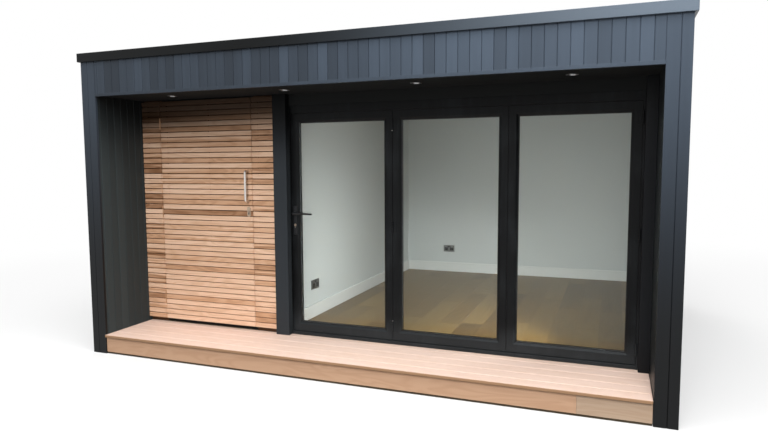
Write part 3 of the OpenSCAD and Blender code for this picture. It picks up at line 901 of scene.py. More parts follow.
    def sweep(self, path: Sequence[Vector], radii: Sequence[float], sides: int = 24) -> None:
        """Draws a round bar along a path, capped at both ends.

        Args:
            path: The points of its middle line.
            radii: Its radius at each point.
            sides: The facets round it.
        """
        ring = bmesh.ops.create_circle(self.bm, cap_ends=True, radius=1.0, segments=sides)["verts"]
        heading = Vector((0.0, 0.0, 1.0))
        last = Matrix.Identity(4)
        for i, (point, radius) in enumerate(zip(path, radii)):
            if i:
                grown = bmesh.ops.extrude_edge_only(self.bm, edges=self.inner(ring))
                ring = points_of(grown["geom"])
            before, after = path[max(i - 1, 0)], path[min(i + 1, len(path) - 1)]
            forward = (after - before).normalized()
            turn = heading.rotation_difference(forward).to_matrix().to_4x4()
            axes = (turn @ last.to_3x3().normalized().to_4x4()).to_3x3().to_4x4()
            goal = Matrix.Translation(point) @ axes @ Matrix.Diagonal((radius, radius, radius, 1.0))
            bmesh.ops.transform(self.bm, matrix=goal @ last.inverted(), verts=ring)
            heading, last = forward, goal
        bmesh.ops.contextual_create(self.bm, geom=self.inner(ring))
        near = self.island(ring)
        for f in near:
            f.smooth = len(f.verts) == 4
        bmesh.ops.recalc_face_normals(self.bm, faces=near)

    def copy_of(self, node: str, ease: float, steps: int, least: float) -> None:
        """Adds a CAD node's own form with its sharp edges eased.

        Args:
            node: The CAD node.
            ease: The width of the easing.
            steps: The facets across it.
            least: The least angle, in radians, of an edge that is eased.
        """
        self.bm.from_mesh(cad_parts[node].data)
        bmesh.ops.remove_doubles(self.bm, verts=self.bm.verts[:], dist=CAD_HAIR)
        bmesh.ops.dissolve_limit(
            self.bm, angle_limit=FLAT_BELOW, verts=self.bm.verts[:], edges=self.bm.edges[:]
        )
        sharp = [e for e in self.bm.edges if e.is_manifold and e.calc_face_angle(0.0) > least]
        self.ease(sharp, ease, steps)

    def stock(self, tone: float = 0.5, shift: float = 0.0, facing: Vector | None = None) -> None:
        """Marks the faces added since the last call as one board.

        Args:
            tone: The board's tone, pale at 0 and dark at 1.
            shift: The slide of its pattern.
            facing: Where given, only the faces that look this way are marked.
        """
        if facing:
            self.bm.normal_update()
        for f in self.bm.faces:
            if not f[self.marked] and (facing is None or f.normal.dot(facing) > 0.5):
                f[self.marked] = 1
                f[self.tone], f[self.shift] = tone, shift

    def piece(
        self, name: str, finish: Finish, slot: Slot, body: Body = Body.BUILDING,
        stands_for: Sequence[str] = (),
    ) -> None:
        """Makes the mesh a piece of the model.

        Args:
            name: The piece's name.
            finish: Its finish.
            slot: The record's slot for that finish; it is not used.
            body: The body that it rides on.
            stands_for: The CAD nodes that it replaces.
        """
        self.stock()
        for e in self.bm.edges:
            e.smooth = e.is_manifold and e.calc_face_angle(0.0) < SMOOTH_BELOW
        mesh = bpy.data.meshes.new(name)
        self.bm.to_mesh(mesh)
        self.bm.free()
        made = bpy.data.objects.new(name, mesh)
        bpy.context.scene.collection.objects.link(made)
        mesh.materials.append(finish.material())
        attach(made, body.value)
        if stands_for:
            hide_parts(*stands_for)
        LOG.info("%s: %d faces, rides on %s", name, len(mesh.polygons), body.value)


def dress(finish: Finish, *nodes: str) -> None:
    """Gives CAD nodes a finish.

    Args:
        finish: The finish.
        nodes: Their names.
    """
    for name in nodes:
        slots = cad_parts[name].data.materials
        slots.clear()
        slots.append(finish.material())
        LOG.info("%s: dressed with %s", name, finish.name)


def eased(
    node: str, finish: Finish, slot: Slot, ease: float, steps: int = 2, least: float = 0.5,
    ending: str = "_eased",
) -> None:
    """Puts a copy of a CAD node with eased edges in its place.

    Args:
        node: The CAD node.
        finish: The copy's finish.
        slot: The record's slot for that finish.
        ease: The width of the easing.
        steps: The facets across it.
        least: The least angle, in radians, of an edge that is eased.
        ending: What the piece's name adds to the node's.
    """
    shape = Shape()
    shape.copy_of(node, ease, steps, least)
    shape.piece(node + ending, finish, slot, stands_for=[node])


# ---- sub-assemblies


@dataclass
class Cladding:
    """The upright boards on the walls, the wings and the fascia."""

    board: float = 0.077
    corner_board: float = 0.063
    thick: float = 0.020
    joint: float = 0.006
    slit: float = 0.0016
    chamfer: float = 0.0026
    tongue: float = 0.009
    width: float = 4.525
    depth: float = 3.930
    wing: float = 0.140
    recess: float = 0.562
    top: float = 2.480
    roof_under: float = 2.200
    back_top: float = 2.380
    fascia_foot: float = 2.172
    evenness: float = 2.2
    rng: random.Random = field(default_factory=lambda: random.Random(11))

    def joints(self, length: float) -> list[float]:
        """Works out where the joints of a run of boards are.

        Args:
            length: The run's length.

        Returns:
            Their places along the run.
        """
        boards = (length - self.corner_board - self.joint) / self.board
        count = math.floor(boards + HAIR)
        first = length - self.corner_board - self.board * count
        return [first + i * self.board for i in range(count + 1)]

    def run(
        self, shape: Shape, start: Vector, turn: float, length: float, height: float,
        flip: bool = False, ends: bool = False,
    ) -> None:
        """Adds a run of boards.

        Args:
            shape: The mesh that takes them.
            start: The foot of the run's first edge, on the boards' face.
            turn: The run's direction, in degrees from +X, with the face on its right.
            length: The run's length.
            height: The boards' height.
            flip: Whether the run is the mirror image, with the face on its left.
            ends: Whether its two ends are chamfered like its joints.
        """
        place = Matrix.Translation(start) @ Matrix.Rotation(math.radians(turn), 4, "Z")
        if flip:
            place = place @ Matrix.Diagonal((1.0, -1.0, 1.0, 1.0))
        stops = [0.0, *self.joints(length), length]
        for i, (a, b) in enumerate(zip(stops, stops[1:])):
            outline = self.profile(a, b, ends or i > 0, ends or i < len(stops) - 2)
            shape.prism(outline, place, height)
            tone = self.rng.betavariate(self.evenness, self.evenness)
            shape.stock(tone, self.rng.uniform(0.0, BOARD_SLIDE))

    def profile(self, a: float, b: float, left: bool, right: bool) -> list[tuple[float, float]]:
        """Outline of one board seen from its end.

        Args:
            a: Its left side's place along the run.
            b: Its right side's place.
            left: Whether the left side has half of a chamfered joint.
            right: Whether the right side has.

        Returns:
            The corners, as (place along the run, depth) pairs.
        """
        tongue, cut = self.tongue, self.chamfer
        first, last = a + self.slit / 2, b - self.slit / 2
        ends = [(b, 0.0)], [(a, 0.0)]
        if right:
            ends[0][:] = [(b, tongue), (last, tongue), (last, cut), (last - cut, 0.0)]
        if left:
            ends[1][:] = [(first + cut, 0.0), (first, cut), (first, tongue), (a, tongue)]
        return [(a, self.thick), (b, self.thick), *ends[0], *ends[1]]

    def side(self, node: str, right: bool) -> None:
        """Builds the boards on one side wall.

        Args:
            node: The CAD node that they replace.
            right: Whether it is the right side.
        """
        shape = Shape()
        start = at(self.width if right else 0.0, self.depth - self.thick, 0.0)
        self.run(shape, start, -90.0, self.depth - 2 * self.thick, self.top, right)
        shape.piece(node + "_boards", CLADDING, Slot.CLADDING, stands_for=[node])

    def wing_boards(self, node: str, right: bool) -> None:
        """Builds the boards on one wing: its front and its inner side.

        Args:
            node: The CAD node that they replace.
            right: Whether it is the right wing.
        """
        front, side = Shape(), Shape()
        inner = self.width - self.wing if right else self.wing
        ahead = 0.0 if right else 180.0
        self.run(front, at(inner, 0.0, 0.0), ahead, self.wing, self.top, not right)
        deep = self.recess - self.thick
        self.run(side, at(inner, self.thick, 0.0), 90.0, deep, self.roof_under, right)
        front.piece(node + "_boards", FRONT, Slot.CLADDING, stands_for=[node])
        # The inner side takes the recess's painted shade.
        side.piece(node + "_inner_boards", SHADED_INNER, Slot.CLADDING, stands_for=[node])

    def build(self) -> None:
        """Builds every run of boards."""
        self.side("left_cladding", False)
        self.side("right_cladding", True)
        self.wing_boards("left_wing_cladding", False)
        self.wing_boards("right_wing_cladding", True)
        shape = Shape()
        self.run(shape, at(self.width, self.depth, 0.0), 180.0, self.width, self.back_top)
        shape.piece("back_cladding_boards", CLADDING, Slot.CLADDING, stands_for=["back_cladding"])
        shape = Shape()
        start, length = at(self.wing, 0.0, self.fascia_foot), self.width - 2 * self.wing
        self.run(shape, start, 0.0, length, self.top - self.fascia_foot, ends=True)
        shape.piece("fascia_boards", FRONT, Slot.CLADDING, stands_for=["front_fascia"])


@dataclass
class RoofEdge:
    """The roof's trim and membrane, and the gutter and downpipe at the back."""

    trim_ease: float = 0.0025
    metal_ease: float = 0.0012
    membrane: float = 0.003
    lap_pitch: float = 1.35
    lap_share: float = 0.995
    lap_width: float = 0.075
    lap_rise: float = 0.0015
    turn_up: float = 0.0015
    cap_drop: float = 0.02
    cap_air: float = 0.0002
    sheet_ease: float = 0.0004
    brackets: int = 6
    strap: float = 0.025
    strap_thick: float = 0.003
    strap_drop: float = 0.045
    strap_air: float = 0.002
    hook: float = 0.0105
    clip_feet: tuple[float, ...] = (0.45, 1.30, 2.15)
    clip: float = 0.03
    clip_band: float = 0.0025
    clip_ear: float = 0.022
    clip_ear_thick: float = 0.004
    clip_air: float = 0.0005

    def build(self) -> None:
        """Builds the edge pieces and dresses the membrane."""
        eased("roof_trim", TRIM, Slot.BLACK_TRIM, self.trim_ease)
        eased("fascia_strip", FRONT, Slot.BLACK_TRIM, self.metal_ease)
        eased("rear_gutter", GUTTER, Slot.BLACK_TRIM, self.metal_ease)
        eased("downpipe", GUTTER, Slot.BLACK_TRIM, self.metal_ease)
        dress(MEMBRANE, "roof_membrane")
        dress(SAWN, "roof_kerb")
        self.laps()
        self.upstands()
        self.gutter_brackets()
        self.pipe_clips()

    def fall(self) -> float:
        """The membrane's fall towards the back, in metres for each metre."""
        low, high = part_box("roof_membrane")
        return (high.z - low.z - self.membrane) / (high.y - low.y)

    def laps(self) -> None:
        """Lap strips over the joints of the membrane, which follow its fall."""
        low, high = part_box("roof_membrane")
        tilt = Matrix.Rotation(-math.atan(self.fall()), 4, "X")
        size = (self.lap_width, (high.y - low.y) * self.lap_share, self.lap_rise)
        shape = Shape()
        x = low.x + self.lap_pitch
        while x < high.x - self.lap_width:
            place = Matrix.Translation((x, low.y, high.z)) @ tilt
            shape.block((0.0, 0.0, 0.0), size, self.lap_rise * 0.3, 1, place)
            x += self.lap_pitch
        shape.piece("membrane_laps", MEMBRANE, Slot.MEMBRANE)

    def upstands(self) -> None:
        """The sheet turned up the kerbs' inner faces, and the caps on their back ends."""
        low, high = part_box("roof_membrane")
        kerb_low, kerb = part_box("roof_kerb")
        foot = high.z - self.fall() * (kerb.y - low.y)
        outline = [(low.y, high.z), (kerb.y, foot), (kerb.y, kerb.z), (low.y, kerb.z)]
        swung = Matrix(((0, 0, 1, 0), (1, 0, 0, 0), (0, 1, 0, 0), (0, 0, 0, 1)))
        shape = Shape()
        thick, ease = self.turn_up, self.sheet_ease
        for x in (low.x, high.x - thick):
            shape.prism(outline, Matrix.Translation((x, 0.0, 0.0)) @ swung, thick)
        shape.block(
            (low.x + thick, low.y, high.z), (high.x - thick, low.y + thick, kerb.z), ease
        )
        for x0, x1 in ((kerb_low.x, low.x), (high.x, kerb.x)):
            near = (x0, kerb.y + self.cap_air, foot - self.cap_drop)
            shape.block(near, (x1, kerb.y + thick, kerb.z), ease)
        shape.piece("membrane_upstands", MEMBRANE, Slot.MEMBRANE)

    def gutter_brackets(self) -> None:
        """Bracket straps under, over and behind the gutter."""
        low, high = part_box("rear_gutter")
        thick = self.strap_thick
        spans = (
            ((low.y, low.z - thick), (high.y, low.z)),
            ((high.y - self.hook, high.z), (high.y, high.z + thick)),
            ((low.y, low.z - self.strap_drop), (low.y + thick, low.z - self.strap_air)),
        )
        shape = Shape()
        for i in range(self.brackets):
            x = low.x + (i + 0.5) * (high.x - low.x) / self.brackets
            for near, far in spans:
                shape.block((x, *near), (x + self.strap, *far))
        shape.piece("gutter_brackets", GUTTER, Slot.BLACK_TRIM)

    def pipe_clips(self) -> None:
        """Clips that hold the downpipe to the boards."""
        low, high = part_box("downpipe")
        band, ear, air = self.clip_band, self.clip_ear, self.clip_air
        thick = low.y + self.clip_ear_thick
        spans = (
            (low.x - ear, low.x - air, low.y, thick),
            (high.x + air, high.x + ear, low.y, thick),
            (low.x - band, low.x, low.y, high.y + band),
            (high.x, high.x + band, low.y, high.y + band),
            (low.x, high.x, high.y, high.y + band),
        )
        shape = Shape()
        for z in self.clip_feet:
            for x0, x1, y0, y1 in spans:
                shape.block((x0, y0, z), (x1, y1, z + self.clip))
        shape.piece("pipe_clips", GUTTER, Slot.BLACK_TRIM)


@dataclass
class Porch:
    """The deck, the soffit with its lamps, and the post and board beside the openings."""

    board: float = 0.120
    gap: float = 0.005
    deck_ease: float = 0.004
    nose_shade_tone: float = 1.6
    top_tones: tuple[float, float] = (0.12, 0.32)
    fascia_end: float = 0.440
    fascia_joint: float = 0.0008
    foot_shadow_front: float = 0.004
    foot_shadow_back: float = 0.002
    foot_shadow_air: float = 0.0005
    post_ease: float = 0.002
    lamp_x: tuple[float, ...] = (0.6706, 1.7319, 2.7931, 3.8544)
    lamp_y: float = 0.291
    soffit: float = 2.159
    bezel: Profile = (
        (0.0345, 0.030), (0.0345, 0.0), (0.0415, 0.0), (0.0419, -0.0012), (0.0405, -0.0026),
        (0.0375, -0.003), (0.0330, -0.0018), (0.0300, 0.003), (0.0275, 0.012), (0.0275, 0.016),
        (0.0, 0.016), (0.0, 0.030), (0.0345, 0.030),
    )
    lens: Profile = (
        (0.0, 0.0075), (0.016, 0.0082), (0.0274, 0.012), (0.0274, 0.0155), (0.0, 0.0155),
    )
    rng: random.Random = field(default_factory=lambda: random.Random(5))

    def build(self) -> None:
        """Builds the porch's pieces."""
        self.deck()
        self.deck_front()
        eased("corner_post", POST, Slot.BLACK_TRIM, self.post_ease)
        eased("return_board", RETURN, Slot.BLACK_TRIM, self.post_ease)
        dress(BLACK_BOARD, "soffit")
        # The door heads take a lighter copy of the black board, as painted light.
        dress(LIT_HEAD_BOARD, "door_heads")
        self.lamps()

    def deck(self) -> None:
        """The deck boards; the front face of the first one's nose is painted darker, as painted
        shade.
        """
        low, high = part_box("deck_boards")
        shape = Shape()
        y = low.y
        while y < high.y - self.gap:
            end = min(y + self.board, high.y)
            shape.block((low.x, y, low.z), (high.x, end, high.z), self.deck_ease, 3)
            slide = self.rng.uniform(0.0, BOARD_SLIDE)
            # Painted shade on the front face of the first board's nose.
            if y == low.y:
                shape.stock(self.nose_shade_tone, slide, Vector((0.0, -1.0, 0.0)))
            shape.stock(self.rng.uniform(*self.top_tones), slide)
            y += self.board + self.gap
        shape.piece("deck_planks", DECK_TOP, Slot.DECK_TIMBER, stands_for=["deck_boards"])

    def deck_front(self) -> None:
        """The two fascia boards under the deck's nose, and a dark block under them that stands in
        for the shadow at their foot.
        """
        low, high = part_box("deck_fascia")
        joint = high.x - self.fascia_end
        for name, a, b, tone, finish in (
            ("deck_fascia_board", low.x, joint - self.fascia_joint, 0.26, DECK_EDGE),
            ("deck_fascia_end", joint, high.x, 0.35, DECK_END),
        ):
            shape = Shape()
            shape.block((a, low.y, low.z), (b, high.y, high.z), steps=2)
            shape.stock(tone, self.rng.uniform(0.0, BOARD_SLIDE))
            shape.piece(name, finish, Slot.DECK_TIMBER, stands_for=["deck_fascia"])
        # Painted shadow: a dark block fills the gap under the fascia boards.
        shape = Shape()
        shape.block(
            (low.x, low.y + self.foot_shadow_front, 0.0),
            (high.x, high.y - self.foot_shadow_back, low.z - self.foot_shadow_air),
        )
        shape.piece("deck_foot_shadow", TREATED, Slot.BASE_TIMBER)

    def lamps(self) -> None:
        """The recessed downlights: a turned bezel with its reflector, and a frosted lens."""
        bezels, lenses = Shape(), Shape()
        for x in self.lamp_x:
            place = Matrix.Translation(at(x, self.lamp_y, self.soffit))
            bezels.turned(self.bezel, place)
            lenses.turned(self.lens, place)
        bezels.piece("downlight_bezels", NICKEL, Slot.LAMP_METAL, stands_for=["downlights"])
        lenses.piece("downlight_lenses", LENS, Slot.WHITE_PLASTIC)


@dataclass
class KeyCylinder:
    """A lock cylinder of the usual keyhole outline, with its turned plug and key slot."""

    name: str
    face: Vector
    body: Body
    radius: float = 0.0085
    tail: float = 0.005
    drop: float = 0.0245
    proud: float = 0.0045
    plug: Profile = (
        (0.0062, -0.001), (0.0062, 0.0006), (0.0057, 0.001), (0.0, 0.001),
    )
    ring: Profile = (
        (0.0086, 0.0), (0.0115, 0.0), (0.0115, 0.0012), (0.0108, 0.0020), (0.0086, 0.0020),
        (0.0086, 0.0),
    )
    key_slot: tuple[Triple, ...] = ((0.0006, -0.0042, 0.0042), (0.0011, -0.0010, 0.0012))
    slot_front: float = 0.0012
    slot_back: float = 0.0005
    slot_ease: float = 0.0001

    def outline(self) -> list[tuple[float, float]]:
        """Draws the keyhole outline: a round head with a narrower tail under it.

        Returns:
            Its corners, from the tail's right side round by the head.
        """
        steps, tail, foot = 24, self.tail, -self.drop
        start = math.asin(tail / self.radius)
        out = []
        for step in range(steps + 1):
            a = -RIGHT_ANGLE + start + step * (FULL_TURN - 2 * start) / steps
            out.append((self.radius * math.cos(a), self.radius * math.sin(a)))
        out += [(-tail, foot + tail), (-tail * 0.7, foot + tail * 0.3), (0.0, foot)]
        return out + [(tail * 0.7, foot + tail * 0.3), (tail, foot + tail)]

    def build(self) -> None:
        """Builds the body, the plug with its ring, and the key slot."""
        shape = Shape()
        shape.prism(self.outline(), outward(self.face), self.proud)
        shape.piece(self.name, DULL, Slot.STEEL, self.body)
        front = self.face + Vector((0.0, -self.proud, 0.0))
        shape = Shape()
        shape.turned(self.plug, outward(front), 28)
        shape.turned(self.ring, outward(self.face), 36)
        shape.piece(self.name + "_ring", SATIN, Slot.STEEL, self.body)
        shape = Shape()
        for half, low, high in self.key_slot:
            shape.block(
                front + Vector((-half, -self.slot_front, low)),
                front + Vector((half, -self.slot_back, high)), self.slot_ease,
            )
        shape.piece(self.name + "_keyway", BLACK_PLASTIC, Slot.BLACK_HANDLE, self.body)


@dataclass
class SlatWall:
    """The cedar slats, the concealed store door, its pull and its lock."""

    slat: float = 0.0394
    gap: float = 0.006
    count: int = 43
    ease: float = 0.0034
    tones: tuple[tuple[float, float], ...] = ((0.0, 0.2), (0.35, 0.6), (0.7, 1.05))
    strip: float = 0.0008
    strip_air: float = 0.0002
    strip_tone: float = 0.05
    shade_strip_low: Triple = (0.332, 0.5605, 0.166)
    shade_strip_high: Triple = (1.2795, 0.562, 0.193)
    shade_strip_ease: float = 0.0004
    bar: float = 0.0095
    bend: float = 0.022
    reach: float = 0.050
    bar_x: float = 1.2395
    bar_top: float = 1.5373
    bar_foot: float = 1.2813
    face: float = 0.522
    lock_z: float = 1.192
    plate_radius: float = 0.017
    plate_half: float = 0.026
    plate_thick: float = 0.004
    plate_ease: float = 0.0012
    rng: random.Random = field(default_factory=lambda: random.Random(29))

    def build(self) -> None:
        """Builds the slats and the fittings."""
        self.slats("left_slats", Body.BUILDING, (3, 3, 4), 0.0100)
        self.slats("door_slats", Body.STORE_DOOR, (6, 5, 1), 0.0050)
        self.slats("right_slats", Body.BUILDING, (5, 3, 2), 0.0)
        dress(BACKING, "store_door", "store_front_left", "store_front_right")
        dress(BARREL, "store_hinges")
        # Painted shade: a black strip across the store door's foot fills the recess under the
        # slats.
        shape = Shape()
        shape.block(at(*self.shade_strip_low), at(*self.shade_strip_high), self.shade_strip_ease)
        shape.piece("door_foot_shade", BLACK_BOARD, Slot.BLACK_TRIM)
        self.pull()
        self.lock()

    def tone(self, mixture: Sequence[int]) -> float:
        """Draws a slat's tone.

        Args:
            mixture: The weights of pale, tan and brown.

        Returns:
            The tone.
        """
        low, high = self.rng.choices(self.tones, mixture)[0]
        return self.rng.uniform(low, high)

    def slats(self, node: str, body: Body, mixture: Sequence[int], seam: float) -> None:
        """Builds one stack of slats, and the narrow ends that close the seam on its right.

        Args:
            node: The CAD node that it replaces.
            body: The body that it rides on.
            mixture: The weights of pale, tan and brown slats.
            seam: The width of the ends in the seam, set back from the slats' face.
        """
        low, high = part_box(node)
        shape, ends = Shape(), Shape()
        for i in range(self.count):
            foot = low.z + i * (self.slat + self.gap)
            head = foot + self.slat
            tone, slide = self.tone(mixture), self.rng.uniform(0.0, PLANK_SLIDE)
            shape.block((low.x, low.y, foot), (high.x, high.y, head), self.ease, 2)
            shape.stock(tone, slide)
            if seam:
                front = low.y + self.strip
                ends.block(
                    (high.x + self.strip_air, front, foot), (high.x + seam, high.y, head), self.ease
                )
                ends.stock(tone + self.strip_tone, slide)
        shape.piece(node + "_cedar", CEDAR, Slot.CEDAR, body, [node])
        if seam:
            ends.piece(node + "_seam", CEDAR, Slot.CEDAR, body)

    def pull(self) -> None:
        """The bent steel pull: one bar swept from foot to foot."""
        x, y, bend = self.bar_x, self.face, self.bend
        path = [at(x, y, self.bar_top)]
        for centre, start in ((self.bar_top - bend, 90), (self.bar_foot + bend, 180)):
            for a in fan(start, 90, 8):
                out = y - self.reach + bend + bend * math.cos(a)
                path.append(at(x, out, centre + bend * math.sin(a)))
        path.append(at(x, y, self.bar_foot))
        shape = Shape()
        shape.sweep(path, [self.bar] * len(path), 32)
        shape.piece("steel_pull", STEEL, Slot.STEEL, Body.STORE_DOOR, ["pull_bar"])

    def lock(self) -> None:
        """The lock's plate with round ends and an eased front edge, and its cylinder."""
        middle = at(self.bar_x, self.face, self.lock_z)
        radius, front = self.plate_radius, middle.y - self.plate_thick
        outline = [
            (radius * math.cos(a), side * self.plate_half + radius * math.sin(a))
            for side, start in ((1, 0), (-1, 180)) for a in fan(start, 180, 16)
        ]
        shape = Shape()
        shape.prism(outline, outward(middle), self.plate_thick)
        edges = shape.bm.edges
        rim = [e for e in edges if all(abs(v.co.y - front) < HAIR for v in e.verts)]
        shape.ease(rim, self.plate_ease, 2)
        shape.piece("lock_plate", SATIN, Slot.STEEL, Body.STORE_DOOR, ["store_lock"])
        face = at(self.bar_x, self.face - self.plate_thick, self.lock_z)
        KeyCylinder("store_cylinder", face, Body.STORE_DOOR).build()


@dataclass
class FoldingDoor:
    """The three-leaf glazed door: frame, leaves, glass units, gaskets, hinges and lever."""

    sights: tuple[tuple[float, float], ...] = (
        (1.6910, 2.4465), (2.5825, 3.3380), (3.4740, 4.2295),
    )
    sill: float = 0.270
    head: float = 1.931
    leaf_face: float = 0.572
    leaf_depth: float = 0.060
    leaf_ease: float = 0.0012
    leaf_least: float = 0.45
    seal_gap: float = 0.004
    seal_front: float = 0.006
    seal_back: float = 0.016
    seal_ease: float = 0.0006
    glass_face: float = 0.588
    unit: float = 0.028
    pane: float = 0.004
    pane_ease: float = 0.0005
    hidden: float = 0.010
    spacer: float = 0.0085
    spacer_inset: float = 0.002
    gasket: float = 0.0045
    gasket_depth: float = 0.0035
    joints_x: tuple[float, ...] = (2.5145, 3.4060, 4.2975)
    hinge_z: tuple[float, ...] = (0.304, 1.098, 1.892)
    hinge_l: float = 0.090
    knuckle_count: int = 5
    knuckle_ease: float = 0.0007
    knuckle_air: float = 0.0002
    barrel: float = 0.008
    flange: float = 0.030
    flange_thick: float = 0.004
    flange_ease: float = 0.0008
    jamb_step: float = 0.010
    jamb_flange: float = 0.0137
    web: float = 0.004
    screw_side: float = 0.021
    screw_share: float = 0.7
    screw_inset: float = 0.018
    pin_end: Profile = (
        (0.0, 0.0), (0.0045, 0.0), (0.0045, 0.002), (0.003, 0.0035), (0.0, 0.004),
    )

    def build(self) -> None:
        """Builds the door's pieces."""
        for node in ("folding_frame", "folding_leaf_1", "folding_leaf_2", "folding_leaf_3"):
            eased(node, ALUMINIUM, Slot.DOOR_ALUMINIUM, self.leaf_ease, 1, self.leaf_least)
        self.glass()
        self.gaskets()
        self.seals()
        self.hinges()

    def seals(self) -> None:
        """Rubber seals that close the gaps round the leaves."""
        leaves = [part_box(f"folding_leaf_{i}") for i in (1, 2, 3)]
        gap, (low, high) = self.seal_gap, leaves[0]
        y0 = at(0.0, self.leaf_face + self.seal_front, 0.0).y
        y1 = at(0.0, self.leaf_face + self.seal_back, 0.0).y
        foot, head = low.z, high.z
        shape = Shape()
        for x in (low.x - gap, *(high.x for _, high in leaves)):
            shape.block((x, y0, foot - gap), (x + gap, y1, head + gap), self.seal_ease)
        for low, high in leaves:
            for z in (foot - gap, head):
                shape.block((low.x, y0, z), (high.x, y1, z + gap), self.seal_ease)
        shape.piece("leaf_seals", GASKET, Slot.DOOR_ALUMINIUM)

    def glass(self) -> None:
        """Two panes and a spacer for each leaf."""
        panes, spacers = Shape(), Shape()
        y, inset = self.glass_face, Vector((self.spacer_inset, 0.0, self.spacer_inset))
        between = Vector((0.0, y + self.pane, 0.0))
        for a, b in self.sights:
            low = at(a - self.hidden, 0.0, self.sill - self.hidden)
            high = at(b + self.hidden, 0.0, self.head + self.hidden)
            for front in (y, y + self.unit - self.pane):
                near, far = Vector((0.0, front, 0.0)), Vector((0.0, front + self.pane, 0.0))
                panes.block(low + near, high + far, self.pane_ease)
            low, high = low + inset + between, high - inset + between
            spacers.rim(low, high, self.spacer, self.unit - 2 * self.pane)
        panes.piece("glass_panes", GLASS, Slot.CLEAR_GLASS, stands_for=["folding_glass"])
        spacers.piece("glass_spacers", SPACER, Slot.STEEL)

    def gaskets(self) -> None:
        """Rubber gaskets round the glass, outside and inside."""
        shape = Shape()
        for a, b in self.sights:
            for y in (self.glass_face - self.gasket_depth, self.glass_face + self.unit):
                low, high = at(a, y, self.sill), at(b, y, self.head)
                shape.rim(low, high, self.gasket, self.gasket_depth)
        shape.piece("glazing_gaskets", GASKET, Slot.DOOR_ALUMINIUM)

    def hinges(self) -> None:
        """Knuckled hinges with their flanges and pins; two pin ends at the first joint are steel,
        as painted glints.
        """
        metal, glinting = Shape(), Shape()
        face, back = self.leaf_face, self.leaf_face + self.leaf_depth
        sides = (
            (self.joints_x[0], face, -1.0, 0.0, self.flange),
            (self.joints_x[1], back, 1.0, 0.0, self.flange),
            (self.joints_x[2], face, -1.0, self.jamb_step, self.jamb_flange),
        )
        for x, y, out, step, right in sides:
            axis = y + out * (step + self.barrel)
            for mid in self.hinge_z:
                foot = mid - self.hinge_l / 2
                self.knuckles(metal, x, axis, foot)
                self.plates(metal, x, y, out, step, right, foot)
                for z, sign in ((foot, -1.0), (foot + self.hinge_l, 1.0)):
                    end = Matrix.Translation(at(x, axis, z)) @ Matrix.Diagonal((1, 1, sign, 1))
                    # Painted glints: only the first joint's pin ends that face the middle hinge are
                    # steel.
                    shown = x == self.joints_x[0] and sign * (mid - self.hinge_z[1]) < 0.0
                    (glinting if shown else metal).turned(self.pin_end, end, 20)
        metal.piece("hinge_knuckles", ALUMINIUM, Slot.DOOR_ALUMINIUM, stands_for=["folding_hinges"])
        glinting.piece("hinge_pin_glints", STEEL, Slot.STEEL)

    def knuckles(self, shape: Shape, x: float, y: float, foot: float) -> None:
        """Adds the knuckles of one hinge, with eased ends.

        Args:
            shape: The mesh that takes them.
            x: The place of the hinge's axis across the front.
            y: Its place in depth.
            foot: The hinge's foot.
        """
        each = self.hinge_l / self.knuckle_count
        r, cut, air = self.barrel, self.knuckle_ease, self.knuckle_air
        profile = [
            (0.0, air), (r - cut, air), (r, air + cut), (r, each - air - cut),
            (r - cut, each - air), (0.0, each - air),
        ]
        for i in range(self.knuckle_count):
            shape.turned(profile, Matrix.Translation(at(x, y, foot + i * each)), 28)

    def plates(
        self, shape: Shape, x: float, y: float, out: float, step: float, right: float,
        foot: float,
    ) -> None:
        """Adds the web and the two flanges of one hinge, with their screw heads.

        Args:
            shape: The mesh that takes them.
            x: The place of the joint between the leaves.
            y: The face that the left flange lies on.
            out: -1 where that face looks to the front, 1 where it looks to the room.
            step: How far the right flange's face stands out from it.
            right: The width of the right flange.
            foot: The hinge's foot.
        """
        top, thick = foot + self.hinge_l, self.flange_thick
        spans = (
            (x - self.web, x, y + out * (step + self.barrel), y),
            (x - self.flange, x, y + out * thick, y),
            (x, x + right, y + out * (step + thick), y + out * step),
        )
        for x0, x1, y0, y1 in spans:
            shape.block(at(x0, min(y0, y1), foot), at(x1, max(y0, y1), top), self.flange_ease)
        turn = Matrix.Rotation(-out * RIGHT_ANGLE, 4, "X")
        for sx, sy in (
            (x - self.screw_side, y + out * thick),
            (x + right * self.screw_share, y + out * (step + thick)),
        ):
            for sz in (foot + self.screw_inset, top - self.screw_inset):
                place = Matrix.Translation(at(sx, sy, sz)) @ turn
                shape.screw(place, radius=0.0034, flat=0.0022, proud=0.001, steps=16)


